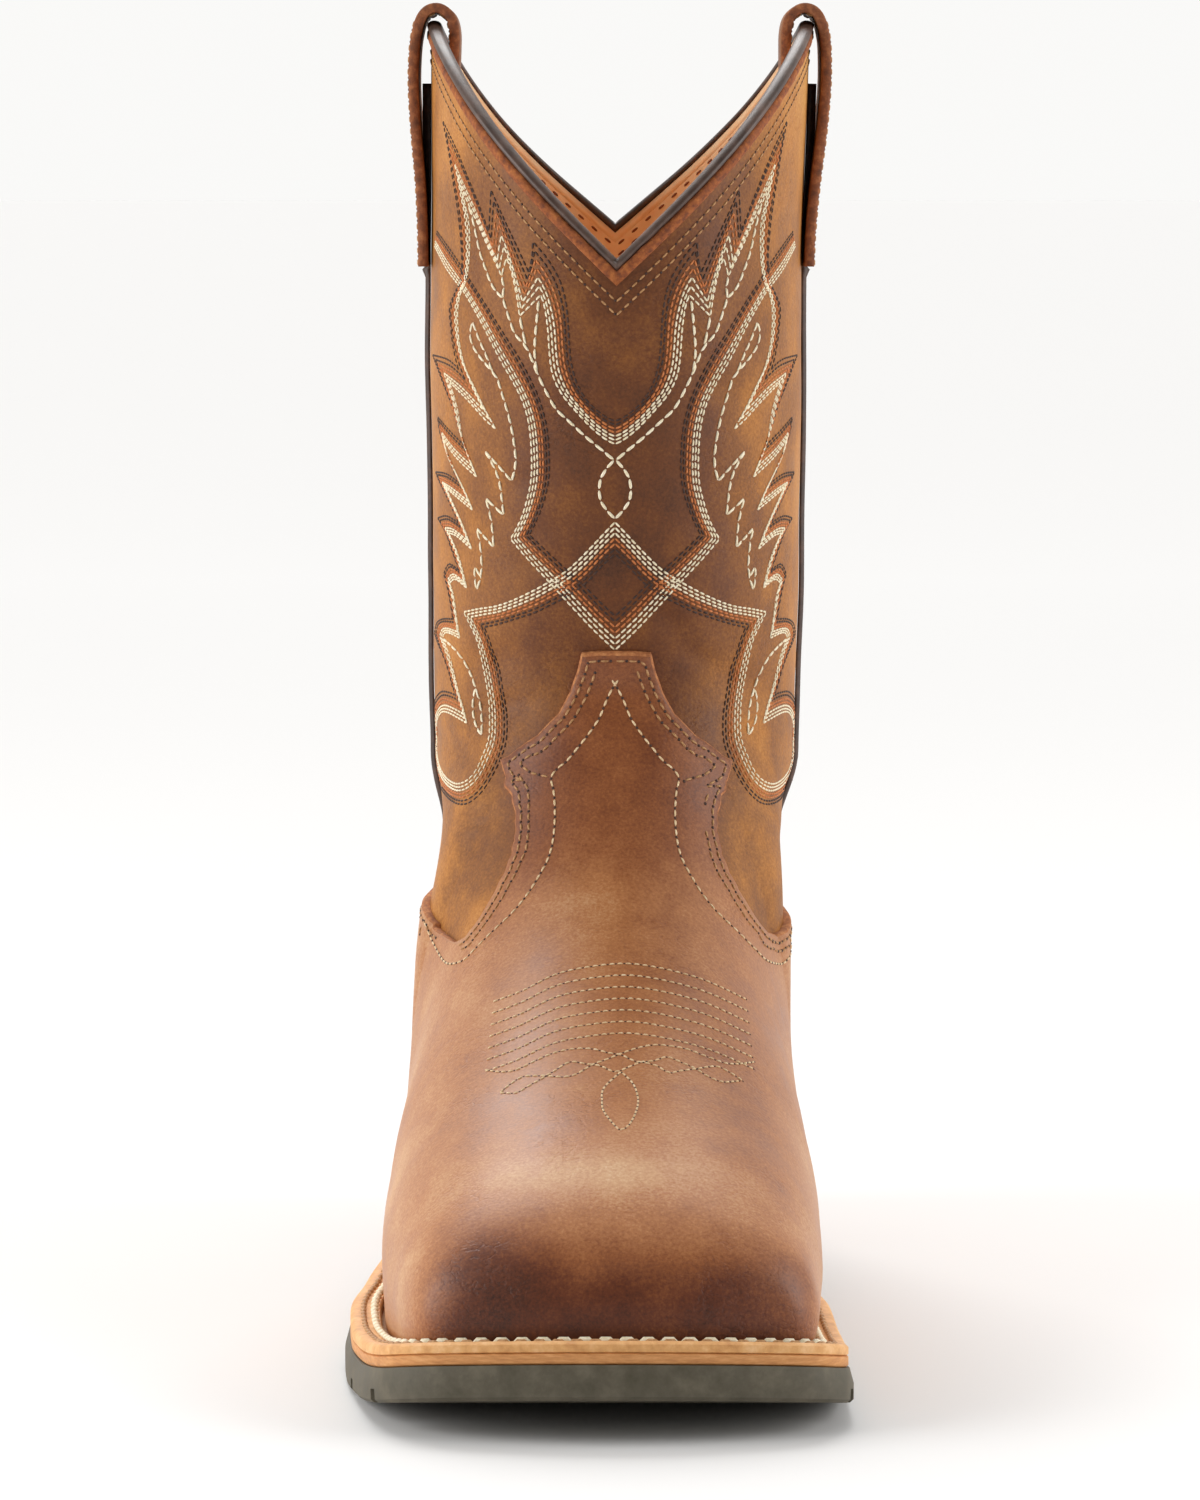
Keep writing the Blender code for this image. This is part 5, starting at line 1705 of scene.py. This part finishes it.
def overlay_seam(outline, reach, keep):
    """A line inside an overlay's edge, where the test on its points holds."""
    rim = dense(outline, RIM_STEP)
    edge = [skin(c, r, OVERLAY_TOP) for c, r in rim]
    path = []
    for c, r in inward(rim, reach):
        if not keep(c, r):
            continue
        p = skin(c, r, OVERLAY_TOP)
        if min((p - q).length for q in edge) > reach - 0.2:
            path.append((p, normal_at(c, r)))
    return path


def build_seams():
    """Stitch rows round the collar, inside it, along the vamp's edge and over its instep."""
    collar = [collar_path(depth, 0.0) for depth in COLLAR_SEAM_DEPTHS]
    add_seam("collar_seam", collar, COLLAR_SEAM, TAN_THREAD)
    dashes = []
    for depth in DASH_DEPTHS:
        dashes += stitch_places(collar_path(depth, -UPPER_WALL - 0.05), *DASH_STITCH)
    add_stitches("lining_dashes", dashes, DASH, DASH_RADIUS, 0.0)
    bottom = row_at_height(FRONT_COLUMNS, VAMP_SEAM_HEIGHT - SEAM_DROP)
    last = AROUND - FRONT_COLUMNS

    def on_vamp(c, r):
        beside_foot = abs(c) > FRONT_COLUMNS - VAMP_SEAM_BEND and r > bottom
        return abs(c) < FRONT_COLUMNS - VAMP_SEAM_STOP and r < bottom + VAMP_SEAM_ROWS and not beside_foot

    def on_counter(c, r):
        return (FRONT_COLUMNS + COUNTER_SEAM_STOP < c < last - COUNTER_SEAM_STOP
                and r < bottom + COUNTER_SEAM_ROWS)

    parts = []
    for inset in EDGE_SEAM_INSETS:
        parts += split_path(overlay_seam(vamp_outline(), inset, on_vamp), SEAM_GAP)
    add_seam("vamp_edge_seam", parts, EDGE_SEAM, TAN_THREAD)
    edge = [overlay_seam(counter_outline(), inset, on_counter) for inset in EDGE_SEAM_INSETS]
    add_seam("counter_edge_seam", edge, EDGE_SEAM, TAN_THREAD)
    inner = rounded_run(VAMP_INNER_LINE)
    halves = [on_surface(VAMP_TREE, inner), on_surface(VAMP_TREE, mirrored(inner))]
    add_seam("vamp_inner_seam", halves, INNER_SEAM, PALE_THREAD)
    lines = []
    for k in range(WRINKLE_ROWS):
        wide = 1.0 + WRINKLE_SPREAD * k
        row = [(blend(WRINKLE_MIDDLE, px, wide), py + WRINKLE_DROP * k) for px, py in WRINKLE_TOP]
        lines.append(on_surface(VAMP_TREE, rounded_run(row)))
    lines += [on_surface(VAMP_TREE, rounded_run(wave)) for wave in WRINKLE_WAVES]
    add_seam("instep_seam", lines, INSTEP_SEAM, PALE_THREAD)


def split_path(path, gap):
    """The path cut wherever neighbouring points lie further apart than the gap."""
    parts = [[path[0]]]
    for a, b in zip(path, path[1:]):
        if (b[0] - a[0]).length > gap:
            parts.append([])
        parts[-1].append(b)
    return [part for part in parts if len(part) > 2]


def welt_path(reach, rise):
    """A closed line round the welt's top."""
    up = Vector((0.0, 0.0, 1.0))
    path = [(Vector((p.x, p.y, midsole_z(p.y) + WELT_WALL + rise)), up) for p in even_loop(reach)]
    return path + path[:1]


def build_welt_stitches():
    """Thick stitches along the welt, close to the upper, and the stitched channel outside them."""
    path = welt_path(lambda s: OVERLAY_TOP + WELT_CLEARANCE + WELT_STITCH_OUT, WELT_STITCH_RISE)
    add_stitches("welt_stitches", stitch_places(path, *WELT_STITCH), CREAM, WELT_STITCH_RADIUS, 0.2)
    path = welt_path(lambda s: welt_reach(s) - SOLE_STITCH_INSET, SOLE_STITCH_RISE)
    add_stitches("sole_stitches", stitch_places(path, *SOLE_STITCH), TAN_THREAD, SOLE_STITCH_RADIUS, 0.1)


def build_heel():
    """Stacked heel block and rubber top piece."""
    edge = even_loop(lambda s: welt_reach(s) + HEEL_FLARE)
    first = min(p.y for p in edge)
    start = next(i for i in range(len(edge)) if edge[i - 1].y > BREAST_S >= edge[i].y)
    heel = [p for p in edge[start:] + edge[:start] if p.y <= BREAST_S]
    if len(heel) % 2:
        heel.append(heel[-1].lerp(heel[0], 0.02))

    def cut(inset, slant):
        narrow = 1.0 - inset / HEEL_HALF_WIDTH
        return [Vector((p.x * narrow, p.y + slant * (BREAST_S - p.y) / (BREAST_S - first))) for p in heel]

    def layer(share):
        return lambda s: blend(LIFT_WALL, tread_z(s), share)

    low = cut(HEEL_TAPER, HEEL_SLANT)
    high = cut(HEEL_TOP_INSET, HEEL_TOP_INSET)
    levels = profile(low, ((0.4, floor_z, 0.0), (0.0, floor_z, 0.5),
                           (0.0, floor_z, LIFT_WALL - 0.3), (0.3, floor_z, LIFT_WALL)))
    lift = ring_body("heel_top_piece", levels, [RUBBER])
    shade_flat_by_angle(lift, HEEL_SHARP_FROM)
    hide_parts("heel_lift")
    levels = profile(low, ((0.3, floor_z, LIFT_WALL + 0.05), (0.0, floor_z, LIFT_WALL + 0.4)))
    for k in range(1, STACK_LAYERS):
        loop = [a.lerp(b, k / STACK_LAYERS) for a, b in zip(low, high)]
        height = layer(k / STACK_LAYERS)
        levels += profile(loop, ((0.0, height, -0.35), (0.3, height, 0.0), (0.0, height, 0.35)))
    levels += profile(high, ((0.0, tread_z, -0.4), (0.3, tread_z, -0.05)))
    stack = ring_body("heel_block", levels, [STACK])
    shade_flat_by_angle(stack, HEEL_SHARP_FROM)
    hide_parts("heel_stack")


def retouch_insole():
    node = frame["nodes"]["insole"]
    for slot in node.material_slots:
        slot.material = INSOLE


def build_world():
    """A studio that is white behind and beside the boot and dim on the camera's side."""
    world_data = bpy.data.worlds.new("studio")
    bpy.context.scene.world = world_data
    world_data.use_nodes = True
    nodes = world_data.node_tree.nodes
    links = world_data.node_tree.links
    place = nodes.new("ShaderNodeTexCoord")
    parts = nodes.new("ShaderNodeSeparateXYZ")
    dimmer = nodes.new("ShaderNodeMapRange")
    dimmer.interpolation_type = "SMOOTHSTEP"
    for key, value in WORLD_GRADIENT:
        dimmer.inputs[key].default_value = value
    background = nodes["Background"]
    background.inputs["Color"].default_value = (1.0, 0.995, 0.98, 1.0)
    links.new(place.outputs["Generated"], parts.inputs["Vector"])
    links.new(parts.outputs["Y"], dimmer.inputs["Value"])
    links.new(dimmer.outputs["Result"], background.inputs["Strength"])


def build_stage():
    """Pale floor, painted lighter further back as painted light, and soft light."""
    scene = bpy.context.scene
    scene.view_settings.view_transform = "Standard"
    build_world()
    mesh = bpy.data.meshes.new("floor")
    corners = [(x * FLOOR_REACH, y * FLOOR_REACH, 0.0) for x, y in ((-1, -1), (1, -1), (1, 1), (-1, 1))]
    mesh.from_pydata(corners, [], [(0, 1, 2, 3)])
    floor = bpy.data.objects.new("floor", mesh)
    paper = Shader("pale_floor")
    parts = paper.nodes.new("ShaderNodeSeparateXYZ")
    paper.link(paper.place, parts.inputs["Vector"])
    # Painted light: the floor grows lighter further back, where the lamps' light falls off.
    away = paper.spread(parts.outputs["Y"], FLOOR_NEAR, FLOOR_FAR, 0.0, 1.0)
    paper.link(paper.ramp(away, FLOOR_PAINTED_LIGHT_STOPS), paper.surface.inputs["Base Color"])
    paper.surface.inputs["Roughness"].default_value = 0.9
    mesh.materials.append(paper.material)
    scene.collection.objects.link(floor)
    overhead = bpy.data.lights.new("overhead", "SUN")
    overhead.energy = SUN_ENERGY
    overhead.angle = math.radians(SUN_SPREAD)
    lamp = bpy.data.objects.new("overhead", overhead)
    lamp.rotation_euler = (math.radians(SUN_TURN[0]), math.radians(SUN_TURN[1]), 0.0)
    scene.collection.objects.link(lamp)
    for name, place, power, size in LAMPS:
        data = bpy.data.lights.new(name, "AREA")
        data.energy = power
        data.size = size
        lamp = bpy.data.objects.new(name, data)
        lamp.location = place
        toward = Vector((0.0, 0.0, LAMP_AIM)) - Vector(place)
        lamp.rotation_euler = toward.to_track_quat("-Z", "Y").to_euler()
        scene.collection.objects.link(lamp)


def camera_place():
    return Vector((CAMERA_X, SOLE_LENGTH + CAMERA_BEFORE_TOE, CAMERA_HEIGHT))


def build_camera():
    data = bpy.data.cameras.new("camera")
    data.sensor_fit = "HORIZONTAL"
    data.sensor_width = SENSOR
    data.lens = SENSOR * FOCAL_PIXELS / PHOTO_WIDTH
    data.clip_end = 30.0
    camera = bpy.data.objects.new("camera", data)
    camera.location = world(camera_place())
    camera.rotation_euler = (math.radians(90.0 - CAMERA_TILT), 0.0, 0.0)
    bpy.context.scene.collection.objects.link(camera)
    bpy.context.scene.camera = camera


def photo_ray(px, py):
    """Direction, in the boot's own axes, through a pixel of the photograph."""
    right = (px - 0.5 * PHOTO_WIDTH) / FOCAL_PIXELS
    down = (py - 0.5 * PHOTO_HEIGHT) / FOCAL_PIXELS
    tilt = math.radians(CAMERA_TILT)
    return Vector((right, -(math.cos(tilt) - down * math.sin(tilt)),
                   -math.sin(tilt) - down * math.cos(tilt))).normalized()


def photo_hit(tree, px, py):
    """Point and normal on a surface under a pixel of the photograph."""
    ray = photo_ray(px, py)
    hit, normal, _, _ = tree.ray_cast(camera_place(), ray)
    if hit is None:
        return None
    if normal.dot(ray) > 0.0:
        normal = -normal
    return hit, normal


build_camera()
build_stage()
build_upper()
build_overlays()
build_binding()
build_collar_edge()
build_piping("piping_lateral_bead", "piping_lateral", LATERAL)
build_piping("piping_medial_bead", "piping_medial", MEDIAL)
build_strap("strap_lateral_leather", "strap_lateral", LATERAL)
build_strap("strap_medial_leather", "strap_medial", MEDIAL)
build_sole()
build_welt_stitches()
build_heel()
build_shaft_stitches()
build_seams()
retouch_insole()
